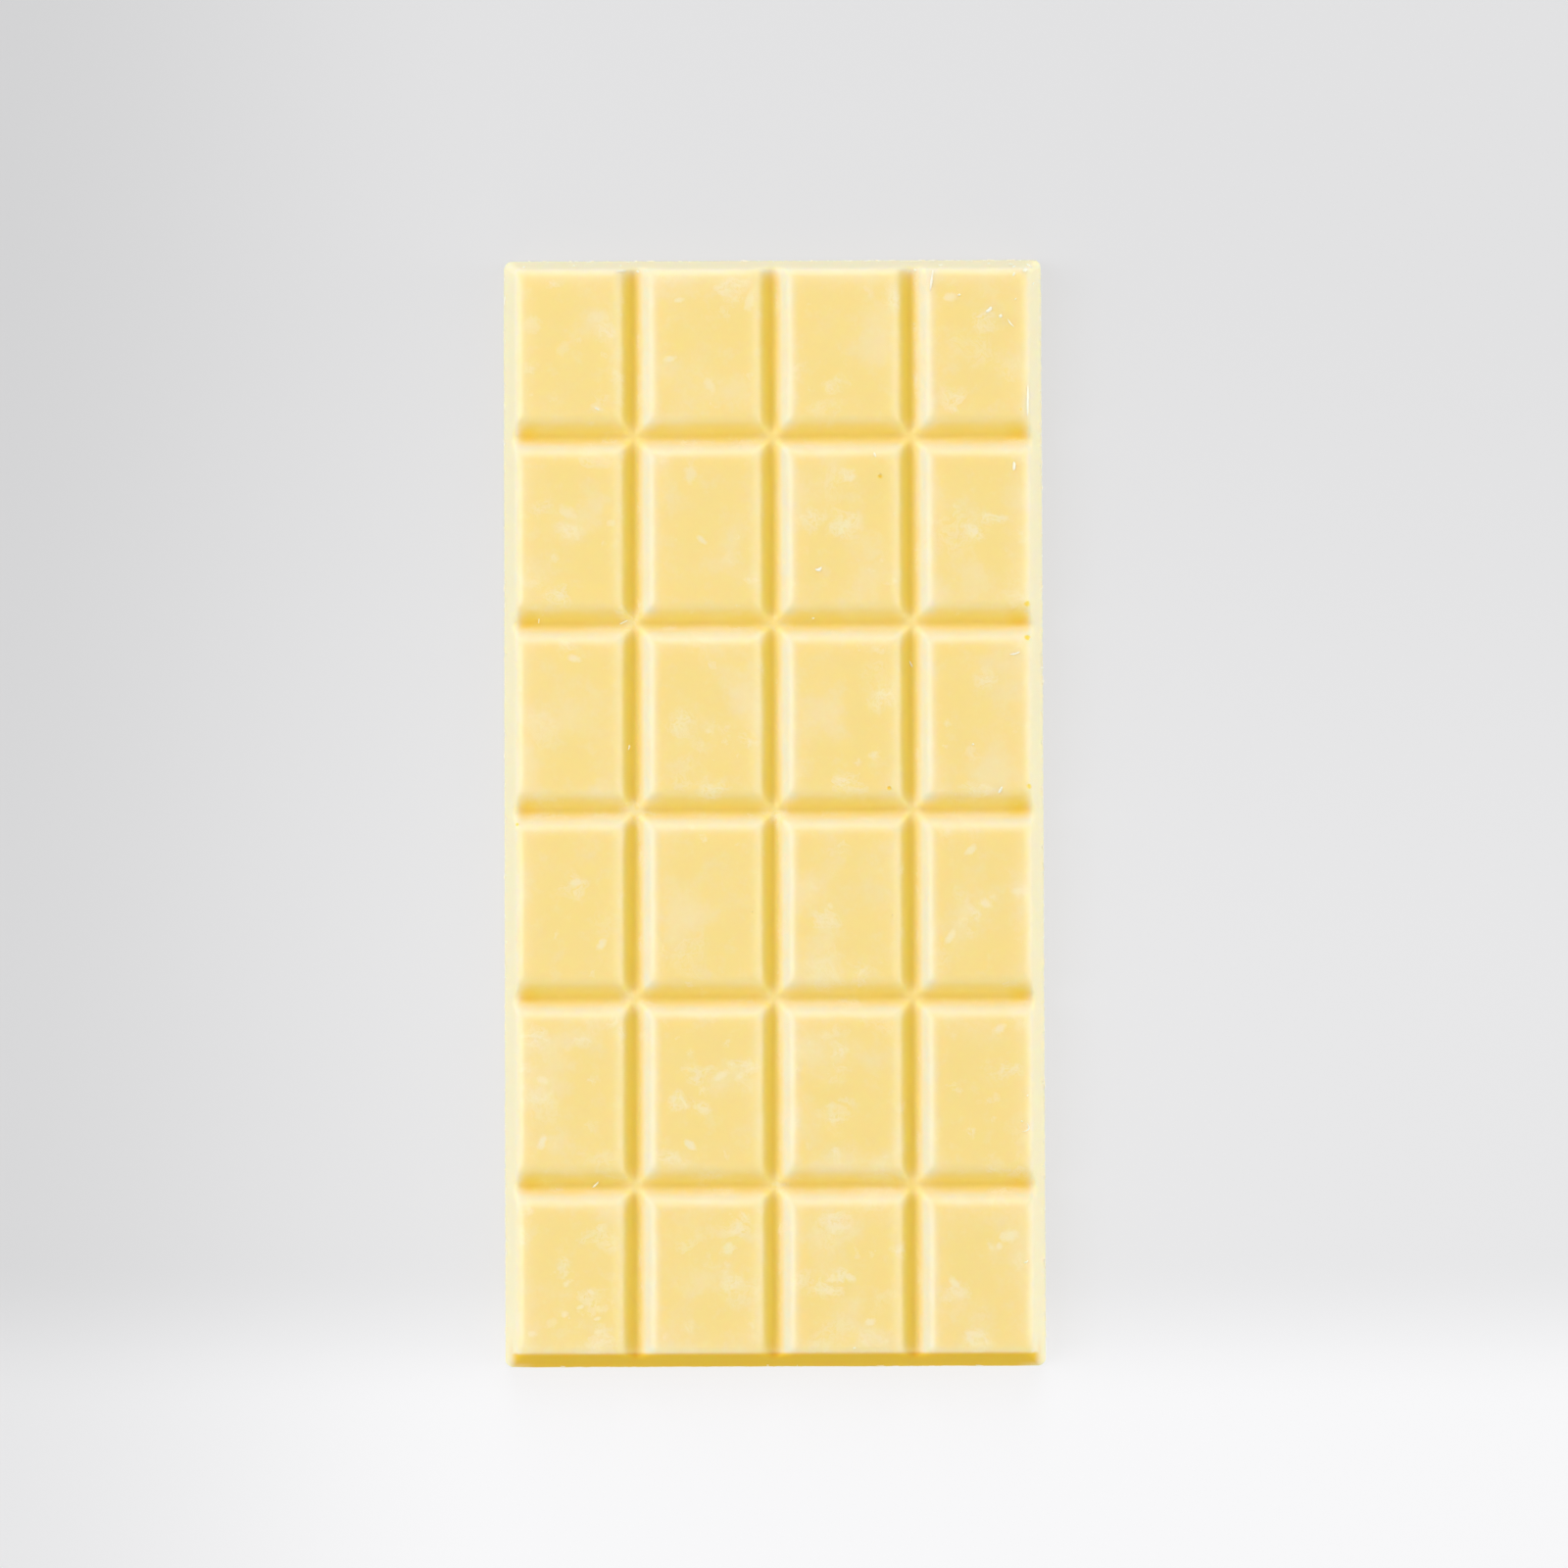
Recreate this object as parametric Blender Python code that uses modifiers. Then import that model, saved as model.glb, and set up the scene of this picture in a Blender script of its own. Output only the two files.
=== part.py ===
"""White chocolate bar: one moulded tablet of 4 x 6 segments, lying on its flat back.

Units are metres and +Z is up. The origin is on the table, under the middle of the bar. X is the
bar's width, Y its length, and the moulded face looks up. The bar is cast in a shallow tray mould,
so its four outer walls lean in towards the moulded face, and a grid of break grooves divides that
face into segments. The poured side is the flat back, on which the bar rests.

The blank is a drafted block. Every groove is a tapered bar cut straight through it from side to
side, so that the grooves cross in mitred corners and notch the outer walls where they run out.
"""

import math

import bmesh
import bpy

OBJECT_NAME = "white_chocolate_bar"

# The whole bar
COLUMNS = 4
ROWS = 6
BACK_WIDTH = 0.0762
BACK_LENGTH = 0.1562
THICKNESS = 0.0080
WALL_LEAN = 0.0021  # how far each outer wall comes in on its way up from the back
PLAN_CORNER_RADIUS = 0.0013
PLAN_CORNER_SEGMENTS = 3

# The break grooves, measured before their edges are rounded
COLUMN_PITCH = 0.01945
ROW_PITCH = 0.02625
GROOVE_MOUTH = 0.0044
GROOVE_FLOOR = 0.0011
GROOVE_DEPTH = 0.0029
CUT_OVERSHOOT = 0.002  # how far a cutter stands out past the bar

# How far the rounding of an edge reaches along the faces beside it
SHOULDER_ROUND = 0.00060
CORNER_ROUND = 0.00055
FLOOR_ROUND = 0.00030
BACK_EDGE_ROUND = 0.00030
ROUND_SEGMENTS = 3

# Finish of the chocolate
CHOCOLATE_COLOUR = (0.94, 0.74, 0.34, 1.0)
CHOCOLATE_ROUGHNESS = 0.38
SMOOTH_ANGLE = math.radians(32)

# What counts as level, as one flat face, and as an edge too blunt to round
LEVEL_TOLERANCE = 1e-6
COPLANAR_ANGLE = math.radians(0.5)
BLUNT_ANGLE = math.radians(5)


def clear_scene():
    """Removes every object, so that the file holds only the bar."""
    for thing in list(bpy.data.objects):
        bpy.data.objects.remove(thing, do_unlink=True)


def make_collection(name):
    """A new collection in the scene."""
    collection = bpy.data.collections.new(name)
    bpy.context.scene.collection.children.link(collection)
    return collection


def add_object(name, mesh, collection):
    """A named object with the given mesh, in the given collection."""
    thing = bpy.data.objects.new(name, mesh)
    collection.objects.link(thing)
    return thing


def chocolate_material():
    """Ivory white chocolate with a soft sheen."""
    material = bpy.data.materials.new("white_chocolate")
    material.use_nodes = True
    shader = material.node_tree.nodes["Principled BSDF"]
    shader.inputs["Base Color"].default_value = CHOCOLATE_COLOUR
    shader.inputs["Roughness"].default_value = CHOCOLATE_ROUGHNESS
    shader.inputs["Metallic"].default_value = 0.0
    material.diffuse_color = CHOCOLATE_COLOUR
    return material


def tapered_block(lower_size, upper_size, lower_z, upper_z):
    """A box, as a bmesh, whose lower and upper faces are given as (x size, y size)."""
    block = bmesh.new()
    bmesh.ops.create_cube(block, size=1.0)
    for vertex in block.verts:
        size, level = (upper_size, upper_z) if vertex.co.z > 0 else (lower_size, lower_z)
        vertex.co.x *= size[0]
        vertex.co.y *= size[1]
        vertex.co.z = level
    return block


def finished_mesh(name, block):
    """The mesh of a bmesh, which is freed."""
    mesh = bpy.data.meshes.new(name)
    block.to_mesh(mesh)
    block.free()
    return mesh


def make_blank(collection):
    """The bar before its grooves: a block with leaning walls and rounded plan corners."""
    front_size = (BACK_WIDTH - 2 * WALL_LEAN, BACK_LENGTH - 2 * WALL_LEAN)
    block = tapered_block((BACK_WIDTH, BACK_LENGTH), front_size, 0.0, THICKNESS)
    standing = [edge for edge in block.edges if edge.verts[0].co.z != edge.verts[1].co.z]
    bmesh.ops.bevel(
        block,
        geom=standing,
        offset=PLAN_CORNER_RADIUS,
        offset_type="OFFSET",
        segments=PLAN_CORNER_SEGMENTS,
        profile=0.5,
        affect="EDGES",
    )
    return add_object(OBJECT_NAME, finished_mesh(OBJECT_NAME, block), collection)


def make_groove_cutter(name, length, across_columns, collection):
    """A tapered bar with the groove's section, reaching up past the moulded face."""
    widening = (GROOVE_MOUTH - GROOVE_FLOOR) / GROOVE_DEPTH
    upper_width = GROOVE_MOUTH + widening * CUT_OVERSHOOT
    floor_z = THICKNESS - GROOVE_DEPTH
    upper_z = THICKNESS + CUT_OVERSHOOT
    if across_columns:
        sizes = (length, GROOVE_FLOOR), (length, upper_width)
    else:
        sizes = (GROOVE_FLOOR, length), (upper_width, length)
    block = tapered_block(*sizes, floor_z, upper_z)
    cutter = add_object(name, finished_mesh(name, block), collection)
    cutter.hide_render = True
    cutter.display_type = "WIRE"
    return cutter


def groove_places(count, pitch):
    """Where the grooves between this many equal strips run, centred on zero."""
    return [(index - (count - 2) / 2) * pitch for index in range(count - 1)]


def make_cutters(collection):
    """One cutter for each groove: those along the bar first, then those across it."""
    cutters = []
    for number, place in enumerate(groove_places(COLUMNS, COLUMN_PITCH), start=1):
        length = BACK_LENGTH + 2 * CUT_OVERSHOOT
        cutter = make_groove_cutter(f"long_groove_{number}", length, False, collection)
        cutter.location.x = place
        cutters.append(cutter)
    for number, place in enumerate(groove_places(ROWS, ROW_PITCH), start=1):
        length = BACK_WIDTH + 2 * CUT_OVERSHOOT
        cutter = make_groove_cutter(f"cross_groove_{number}", length, True, collection)
        cutter.location.y = place
        cutters.append(cutter)
    return cutters


def cut_grooves(bar, cutters):
    """Cuts every groove from the bar and keeps the result as the bar's own mesh."""
    for cutter in cutters:
        cut = bar.modifiers.new(cutter.name, "BOOLEAN")
        cut.operation = "DIFFERENCE"
        cut.solver = "EXACT"
        cut.object = cutter
    bpy.context.view_layer.update()
    graph = bpy.context.evaluated_depsgraph_get()
    grooved = bpy.data.meshes.new_from_object(bar.evaluated_get(graph))
    blank = bar.data
    bar.modifiers.clear()
    bar.data = grooved
    bpy.data.meshes.remove(blank)
    grooved.name = OBJECT_NAME


def is_level(edge, height):
    """Whether both ends of the edge lie at this height."""
    return all(abs(vertex.co.z - height) < LEVEL_TOLERANCE for vertex in edge.verts)


def is_plan_corner(edge):
    """Whether the edge stands within one of the bar's four rounded plan corners."""
    reach_x = BACK_WIDTH / 2 - WALL_LEAN - 2 * PLAN_CORNER_RADIUS
    reach_y = BACK_LENGTH / 2 - WALL_LEAN - 2 * PLAN_CORNER_RADIUS
    return all(abs(v.co.x) > reach_x and abs(v.co.y) > reach_y for v in edge.verts)


def edge_round(edge):
    """How far the rounding of this edge reaches, or zero where the edge stays as it is."""
    if edge.calc_face_angle(0.0) < BLUNT_ANGLE:
        return 0.0
    if is_level(edge, THICKNESS):
        return SHOULDER_ROUND
    if is_level(edge, THICKNESS - GROOVE_DEPTH):
        return FLOOR_ROUND
    if is_level(edge, 0.0):
        return BACK_EDGE_ROUND
    return 0.0 if is_plan_corner(edge) else CORNER_ROUND


def round_edges(bar):
    """Rounds the edges by their kind, as cast chocolate leaves its mould."""
    grooved = bmesh.new()
    grooved.from_mesh(bar.data)
    bmesh.ops.dissolve_limit(
        grooved,
        angle_limit=COPLANAR_ANGLE,
        verts=grooved.verts,
        edges=grooved.edges,
    )
    weights = grooved.edges.layers.float.new("bevel_weight_edge")
    for edge in grooved.edges:
        edge[weights] = edge_round(edge) / SHOULDER_ROUND
    grooved.to_mesh(bar.data)
    grooved.free()
    rounding = bar.modifiers.new("rounded_edges", "BEVEL")
    rounding.limit_method = "WEIGHT"
    rounding.offset_type = "OFFSET"
    rounding.width = SHOULDER_ROUND
    rounding.segments = ROUND_SEGMENTS
    rounding.use_clamp_overlap = False


def build():
    """Builds the bar."""
    clear_scene()
    parts = make_collection(OBJECT_NAME)
    cutter_shelf = make_collection("groove_cutters")
    bar = make_blank(parts)
    cut_grooves(bar, make_cutters(cutter_shelf))
    round_edges(bar)
    bar.data.materials.clear()
    bar.data.materials.append(chocolate_material())
    bar.data.shade_smooth()
    bar.data.set_sharp_from_angle(angle=SMOOTH_ANGLE)


build()
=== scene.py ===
"""White chocolate bar: the finished looks of a moulded tablet of 4 x 6 segments on its flat back.

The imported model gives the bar's box. Around it this script builds the bar again with fine rounded
grooves, a wavy cast skin, air bubbles and a rough poured edge, and adds the crumbs and shavings
that cling to it. Everything is in metres, +Z up, with the moulded face looking up.
"""

import logging
import math
from dataclasses import dataclass, field
from enum import Enum
from typing import Any, Iterable, Sequence, Union

import bmesh
import bpy
from mathutils import Euler, Matrix, Vector, noise
from mathutils.bvhtree import BVHTree


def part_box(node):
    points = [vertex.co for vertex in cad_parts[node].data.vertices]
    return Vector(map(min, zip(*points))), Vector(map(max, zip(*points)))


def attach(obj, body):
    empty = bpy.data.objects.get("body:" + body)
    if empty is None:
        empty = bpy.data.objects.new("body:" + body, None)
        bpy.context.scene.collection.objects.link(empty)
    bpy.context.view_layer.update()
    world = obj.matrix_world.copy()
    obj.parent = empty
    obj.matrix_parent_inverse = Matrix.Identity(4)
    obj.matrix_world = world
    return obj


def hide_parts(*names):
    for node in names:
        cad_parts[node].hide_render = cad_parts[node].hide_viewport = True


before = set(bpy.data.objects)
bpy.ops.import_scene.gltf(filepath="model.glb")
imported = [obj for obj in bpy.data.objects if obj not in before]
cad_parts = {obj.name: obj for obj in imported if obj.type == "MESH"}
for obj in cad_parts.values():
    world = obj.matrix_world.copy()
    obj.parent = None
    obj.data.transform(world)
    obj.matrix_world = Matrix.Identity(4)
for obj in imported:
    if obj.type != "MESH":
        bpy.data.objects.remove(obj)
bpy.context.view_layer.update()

BAR_NODE = "white_chocolate_bar"
BODY = "root"
MM = 0.001

Socket = bpy.types.NodeSocket
Value = Union[float, Socket]
Colour = tuple[float, float, float, float]
# Where a smooth step starts and ends
Step = tuple[float, float]
# The same, and what the step gives before its start and after its end
Ramp = tuple[float, float, float, float]
log = logging.getLogger("white_chocolate_bar")


class Side(Enum):
    """The four sides of the bar, each as the direction that it faces."""

    LEFT = (-1.0, 0.0)
    RIGHT = (1.0, 0.0)
    FAR = (0.0, 1.0)
    NEAR = (0.0, -1.0)


class TreeBuilder:
    """Adds nodes to one geometry or shader tree and links them."""

    def __init__(self, tree: bpy.types.NodeTree) -> None:
        """Keeps the tree.

        Args:
            tree: The node tree to build in.
        """
        self.tree = tree

    def sockets(self, kind: str, *names: str, output: bool = False) -> None:
        """Adds sockets of one type to the tree's interface.

        Args:
            kind: Their type without the NodeSocket prefix, such as Float.
            names: Their names, in order.
            output: Whether they are outputs.
        """
        for name in names:
            self.tree.interface.new_socket(
                name=name, in_out="OUTPUT" if output else "INPUT", socket_type="NodeSocket" + kind
            )

    def node(self, kind: str, **settings: Any) -> bpy.types.Node:
        """Adds a node.

        Args:
            kind: The node's type name.
            settings: Properties to set on it.

        Returns:
            The new node.
        """
        made = self.tree.nodes.new(kind)
        for name, value in settings.items():
            setattr(made, name, value)
        return made

    def feed(self, target: Socket, value: Any) -> None:
        """Links a socket to an input, or sets the input to a plain value.

        Args:
            target: The input socket.
            value: An output socket or a plain value.
        """
        if isinstance(value, bpy.types.NodeSocket):
            self.tree.links.new(value, target)
        else:
            target.default_value = value

    def math(self, operation: str, *values: Value, clamp: bool = False) -> Socket:
        """A Math node.

        Args:
            operation: The node's operation.
            values: Its inputs in order, sockets or numbers.
            clamp: Whether the result is held between 0 and 1.

        Returns:
            The result's socket.
        """
        made = self.node("ShaderNodeMath", operation=operation, use_clamp=clamp)
        for target, value in zip(made.inputs, values):
            self.feed(target, value)
        return made.outputs[0]

    def chain(self, operation: str, *values: Value) -> Socket:
        """One value from several, by a row of Math nodes.

        Args:
            operation: Their operation, such as MULTIPLY.
            values: What is joined, in order.

        Returns:
            The result's socket.
        """
        result = values[0]
        for value in values[1:]:
            result = self.math(operation, result, value)
        return result

    def vector(self, operation: str, *values: Any) -> Socket:
        """A Vector Math node.

        Args:
            operation: The node's operation.
            values: Its inputs in order, sockets, vectors or, for SCALE, the factor last.

        Returns:
            The result's socket.
        """
        made = self.node("ShaderNodeVectorMath", operation=operation)
        targets = [made.inputs[0], made.inputs["Scale"]] if operation == "SCALE" else made.inputs
        for target, value in zip(targets, values):
            self.feed(target, value)
        return made.outputs["Value" if operation in ("LENGTH", "DISTANCE") else "Vector"]

    def split(self, vector: Socket) -> tuple[Socket, Socket, Socket]:
        """The three parts of a vector.

        Args:
            vector: The vector's socket.

        Returns:
            The sockets of x, y and z.
        """
        made = self.node("ShaderNodeSeparateXYZ")
        self.feed(made.inputs[0], vector)
        return made.outputs[0], made.outputs[1], made.outputs[2]

    def join(self, x: Value, y: Value, z: Value) -> Socket:
        """A vector from its three parts.

        Args:
            x: The first part.
            y: The second part.
            z: The third part.

        Returns:
            The vector's socket.
        """
        made = self.node("ShaderNodeCombineXYZ")
        for target, value in zip(made.inputs, (x, y, z)):
            self.feed(target, value)
        return made.outputs[0]

    def noise(
        self, place: Any, scale: Value, detail: float = 2.0, roughness: float = 0.5
    ) -> bpy.types.Node:
        """A Noise Texture node.

        Args:
            place: Where it is read.
            scale: Features per metre.
            detail: How many finer layers it has.
            roughness: How strong those are.

        Returns:
            The node, with its value in Fac and three of them in Color.
        """
        made = self.node("ShaderNodeTexNoise")
        self.feed(made.inputs["Vector"], place)
        self.feed(made.inputs["Scale"], scale)
        made.inputs["Detail"].default_value = detail
        made.inputs["Roughness"].default_value = roughness
        return made

    def shift(self, noise_node: bpy.types.Node, reach: Value) -> Socket:
        """A noise's three values as a shift either way from zero.

        Args:
            noise_node: The Noise Texture node, whose values lie around a half.
            reach: What the shift is scaled by.

        Returns:
            The shift's socket.
        """
        either_way = self.vector("SUBTRACT", noise_node.outputs["Color"], (0.5, 0.5, 0.5))
        return self.vector("SCALE", either_way, reach)

    def ramp(
        self, value: Value, low: Value, high: Value, to_low: Value = 0.0, to_high: Value = 1.0
    ) -> Socket:
        """A smooth step from one value to another.

        Args:
            value: What is read.
            low: Where the step starts.
            high: Where it ends.
            to_low: What it gives before the start.
            to_high: What it gives after the end.

        Returns:
            The result's socket.
        """
        made = self.node("ShaderNodeMapRange", interpolation_type="SMOOTHSTEP")
        for name, given in (
            ("Value", value),
            ("From Min", low),
            ("From Max", high),
            ("To Min", to_low),
            ("To Max", to_high),
        ):
            self.feed(made.inputs[name], given)
        return made.outputs["Result"]

    def mix_colour(self, share: Value, first: Any, second: Any) -> Socket:
        """A mix of two colours.

        Args:
            share: How much of the second there is.
            first: The first colour.
            second: The second colour.

        Returns:
            The mixed colour's socket.
        """
        made = self.node("ShaderNodeMix", data_type="RGBA", clamp_factor=True)
        for name, given in (("Factor_Float", share), ("A_Color", first), ("B_Color", second)):
            target = next(s for s in made.inputs if s.identifier == name)
            self.feed(target, given)
        return next(s for s in made.outputs if s.identifier == "Result_Color")

    def finish_geometry(self, geometry: Socket, material: Socket) -> None:
        """Ends a geometry tree: real meshes, dressed in one material.

        Args:
            geometry: What the tree has made.
            material: The material's socket.
        """
        realised = self.node("GeometryNodeRealizeInstances")
        self.feed(realised.inputs[0], geometry)
        dressed = self.node("GeometryNodeSetMaterial")
        self.feed(dressed.inputs["Geometry"], realised.outputs[0])
        self.feed(dressed.inputs["Material"], material)
        self.feed(self.node("NodeGroupOutput").inputs[0], dressed.outputs[0])

    def group(self, tree: bpy.types.NodeTree, **values: Any) -> bpy.types.Node:
        """A node group placed in this shader tree.

        Args:
            tree: The group's tree.
            values: Its inputs by name, with underscores for spaces.

        Returns:
            The group's node.
        """
        made = self.node("ShaderNodeGroup", node_tree=tree)
        for name, value in values.items():
            self.feed(made.inputs[name.replace("_", " ")], value)
        return made


def link_mesh(name: str, mesh: bpy.types.Mesh) -> bpy.types.Object:
    """Puts a mesh in the scene.

    Args:
        name: The object's and the mesh's name.
        mesh: The mesh.

    Returns:
        The new object, at the origin.
    """
    mesh.name = name
    made = bpy.data.objects.new(name, mesh)
    bpy.context.scene.collection.objects.link(made)
    return made


def plain_mesh(name: str, shape: bmesh.types.BMesh) -> bpy.types.Mesh:
    """The mesh of a bmesh, which is freed.

    Args:
        name: The mesh's name.
        shape: The bmesh.

    Returns:
        The mesh.
    """
    mesh = bpy.data.meshes.new(name)
    shape.to_mesh(mesh)
    shape.free()
    return mesh


def grid_outline(grid: Sequence[Sequence[Any]]) -> list[Any]:
    """The outermost points of a grid, counter-clockwise from its near left corner.

    Args:
        grid: Rows of points, from the nearest to the farthest.

    Returns:
        The points, each once.
    """
    return [
        *grid[0],
        *(row[-1] for row in grid[1:-1]),
        *reversed(grid[-1]),
        *(row[0] for row in grid[-2:0:-1]),
    ]


def applied(thing: bpy.types.Object) -> bpy.types.Object:
    """Turns what the modifiers make of an object into its own plain mesh.

    Args:
        thing: The object.

    Returns:
        The same object without modifiers.
    """
    bpy.context.view_layer.update()
    graph = bpy.context.evaluated_depsgraph_get()
    mesh = bpy.data.meshes.new_from_object(
        thing.evaluated_get(graph), preserve_all_data_layers=True, depsgraph=graph
    )
    before = thing.data
    thing.modifiers.clear()
    thing.data = mesh
    bpy.data.meshes.remove(before)
    mesh.name = thing.name
    return thing


def run_tree(
    thing: bpy.types.Object, tree: bpy.types.NodeTree, values: dict[str, Any]
) -> bpy.types.Object:
    """Runs a geometry tree on an object and keeps the result as its mesh.

    Args:
        thing: The object that the tree starts from.
        tree: The tree.
        values: Its inputs by name.

    Returns:
        The same object with its new mesh.
    """
    modifier = thing.modifiers.new(tree.name, "NODES")
    modifier.node_group = tree
    for item in tree.interface.items_tree:
        if item.item_type == "SOCKET" and item.in_out == "INPUT" and item.name in values:
            modifier[item.identifier] = values[item.name]
    return applied(thing)


# ---------------------------------------------------------------------------------------------
# Finishes
# ---------------------------------------------------------------------------------------------


@dataclass(frozen=True)
class FleckPattern:
    """Pale flecks of cocoa butter: soft uneven spots, some cells of a warped pattern kept.

    The warp and the ragged grain are measured against the spacing of the cells.
    """

    warp_scale: float = 1.7
    warp_reach: float = 1.1
    smallest: float = 0.35
    core: float = 0.25
    ragged_scale: float = 6.0
    ragged: Step = (0.3, 0.62)
    kept_fade: float = 0.35

    def group(self) -> bpy.types.NodeTree:
        """Builds the group that draws the flecks.

        Returns:
            The group's tree.
        """
        tree = bpy.data.node_groups.new("cocoa_butter_flecks", "ShaderNodeTree")
        build = TreeBuilder(tree)
        build.sockets("Vector", "Vector")
        build.sockets("Float", "Spacing", "Coverage", "Reach")
        build.sockets("Float", "Mask", output=True)
        given = build.node("NodeGroupInput")
        result = build.node("NodeGroupOutput")
        scale = build.math("DIVIDE", 1.0, given.outputs["Spacing"])
        warp_scale = build.math("MULTIPLY", scale, self.warp_scale)
        warp = build.noise(given.outputs["Vector"], warp_scale, detail=3.0)
        warp_reach = build.math("MULTIPLY", given.outputs["Spacing"], self.warp_reach)
        place = build.vector("ADD", given.outputs["Vector"], build.shift(warp, warp_reach))
        cells = build.node("ShaderNodeTexVoronoi", feature="F1")
        build.feed(cells.inputs["Vector"], place)
        build.feed(cells.inputs["Scale"], scale)
        draw = build.split(cells.outputs["Color"])
        kept = build.ramp(draw[0], given.outputs["Coverage"], 0.0)
        size = build.math("ADD", draw[1], self.smallest)
        reach = build.math("MULTIPLY", given.outputs["Reach"], size)
        spot = build.ramp(cells.outputs["Distance"], reach, build.math("MULTIPLY", reach, self.core))
        ragged_scale = build.math("MULTIPLY", scale, self.ragged_scale)
        ragged = build.noise(place, ragged_scale, detail=3.0, roughness=0.65).outputs["Fac"]
        ragged = build.ramp(ragged, *self.ragged)
        kept = build.ramp(kept, 0.0, self.kept_fade)
        build.feed(result.inputs["Mask"], build.chain("MULTIPLY", spot, ragged, kept))
        return tree


@dataclass(frozen=True)
class CastSkin:
    """The cast skin: a faint orange-peel and a finer grain, as a height in metres."""

    peel_scale: float = 420.0
    grain_scale: float = 2600.0

    def group(self) -> bpy.types.NodeTree:
        """Builds the group that gives the height.

        Returns:
            The group's tree.
        """
        tree = bpy.data.node_groups.new("cast_skin", "ShaderNodeTree")
        build = TreeBuilder(tree)
        build.sockets("Vector", "Vector")
        build.sockets("Float", "Peel", "Grain")
        build.sockets("Float", "Height", output=True)
        given = build.node("NodeGroupInput")
        result = build.node("NodeGroupOutput")
        peel = build.noise(given.outputs["Vector"], self.peel_scale, detail=2.0)
        grain = build.noise(given.outputs["Vector"], self.grain_scale, detail=2.0)
        height = build.math(
            "ADD",
            build.math("MULTIPLY", peel.outputs["Fac"], given.outputs["Peel"]),
            build.math("MULTIPLY", grain.outputs["Fac"], given.outputs["Grain"]),
        )
        build.feed(result.inputs["Height"], height)
        return tree


@dataclass(frozen=True)
class SoftSpot:
    """One soft ragged oval spot, placed and turned."""

    ragged_scale: float = 1500.0
    edge: Step = (1.0, 0.3)

    def group(self) -> bpy.types.NodeTree:
        """Builds the group that draws one spot.

        Returns:
            The group's tree.
        """
        tree = bpy.data.node_groups.new("soft_spot", "ShaderNodeTree")
        build = TreeBuilder(tree)
        build.sockets("Vector", "Vector", "Centre", "Size")
        build.sockets("Float", "Angle")
        build.sockets("Float", "Mask", output=True)
        given = build.node("NodeGroupInput").outputs
        turned = build.node("ShaderNodeVectorRotate", rotation_type="Z_AXIS")
        build.feed(turned.inputs["Vector"], build.vector("SUBTRACT", given["Vector"], given["Centre"]))
        build.feed(turned.inputs["Angle"], build.math("MULTIPLY", given["Angle"], -1.0))
        shrunk = build.vector("DIVIDE", turned.outputs["Vector"], given["Size"])
        away = build.node("ShaderNodeVectorMath", operation="LENGTH")
        build.feed(away.inputs[0], shrunk)
        ragged = build.noise(given["Vector"], self.ragged_scale, detail=3.0, roughness=0.6)
        ragged = build.math("SUBTRACT", ragged.outputs["Fac"], 0.5)
        away = build.math("ADD", away.outputs["Value"], ragged)
        result = build.node("NodeGroupOutput")
        build.feed(result.inputs["Mask"], build.ramp(away, *self.edge))
        return tree


@dataclass(frozen=True)
class Spot:
    """A soft spot in the skin, with its size, the way that it runs and how strong it is."""

    x: float
    y: float
    length: float
    width: float
    degrees: float = 0.0
    strength: float = 1.0
    z: float = 8.0
    reach: float = 0.6
    depth: float = 3.0

    def mask(self, build: TreeBuilder, place: Socket, group: bpy.types.NodeTree) -> Socket:
        """The spot's mask in a material. Its measures are in millimetres.

        Args:
            build: The material's tree builder.
            place: The object coordinates.
            group: The group that draws one spot.

        Returns:
            The mask's socket.
        """
        drawn = build.group(
            group,
            Vector=place,
            Centre=(self.x * MM, self.y * MM, self.z * MM),
            Size=(self.length * self.reach * MM, self.width * self.reach * MM, self.depth * MM),
            Angle=math.radians(self.degrees),
        )
        return build.math("MULTIPLY", drawn.outputs["Mask"], self.strength)


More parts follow.
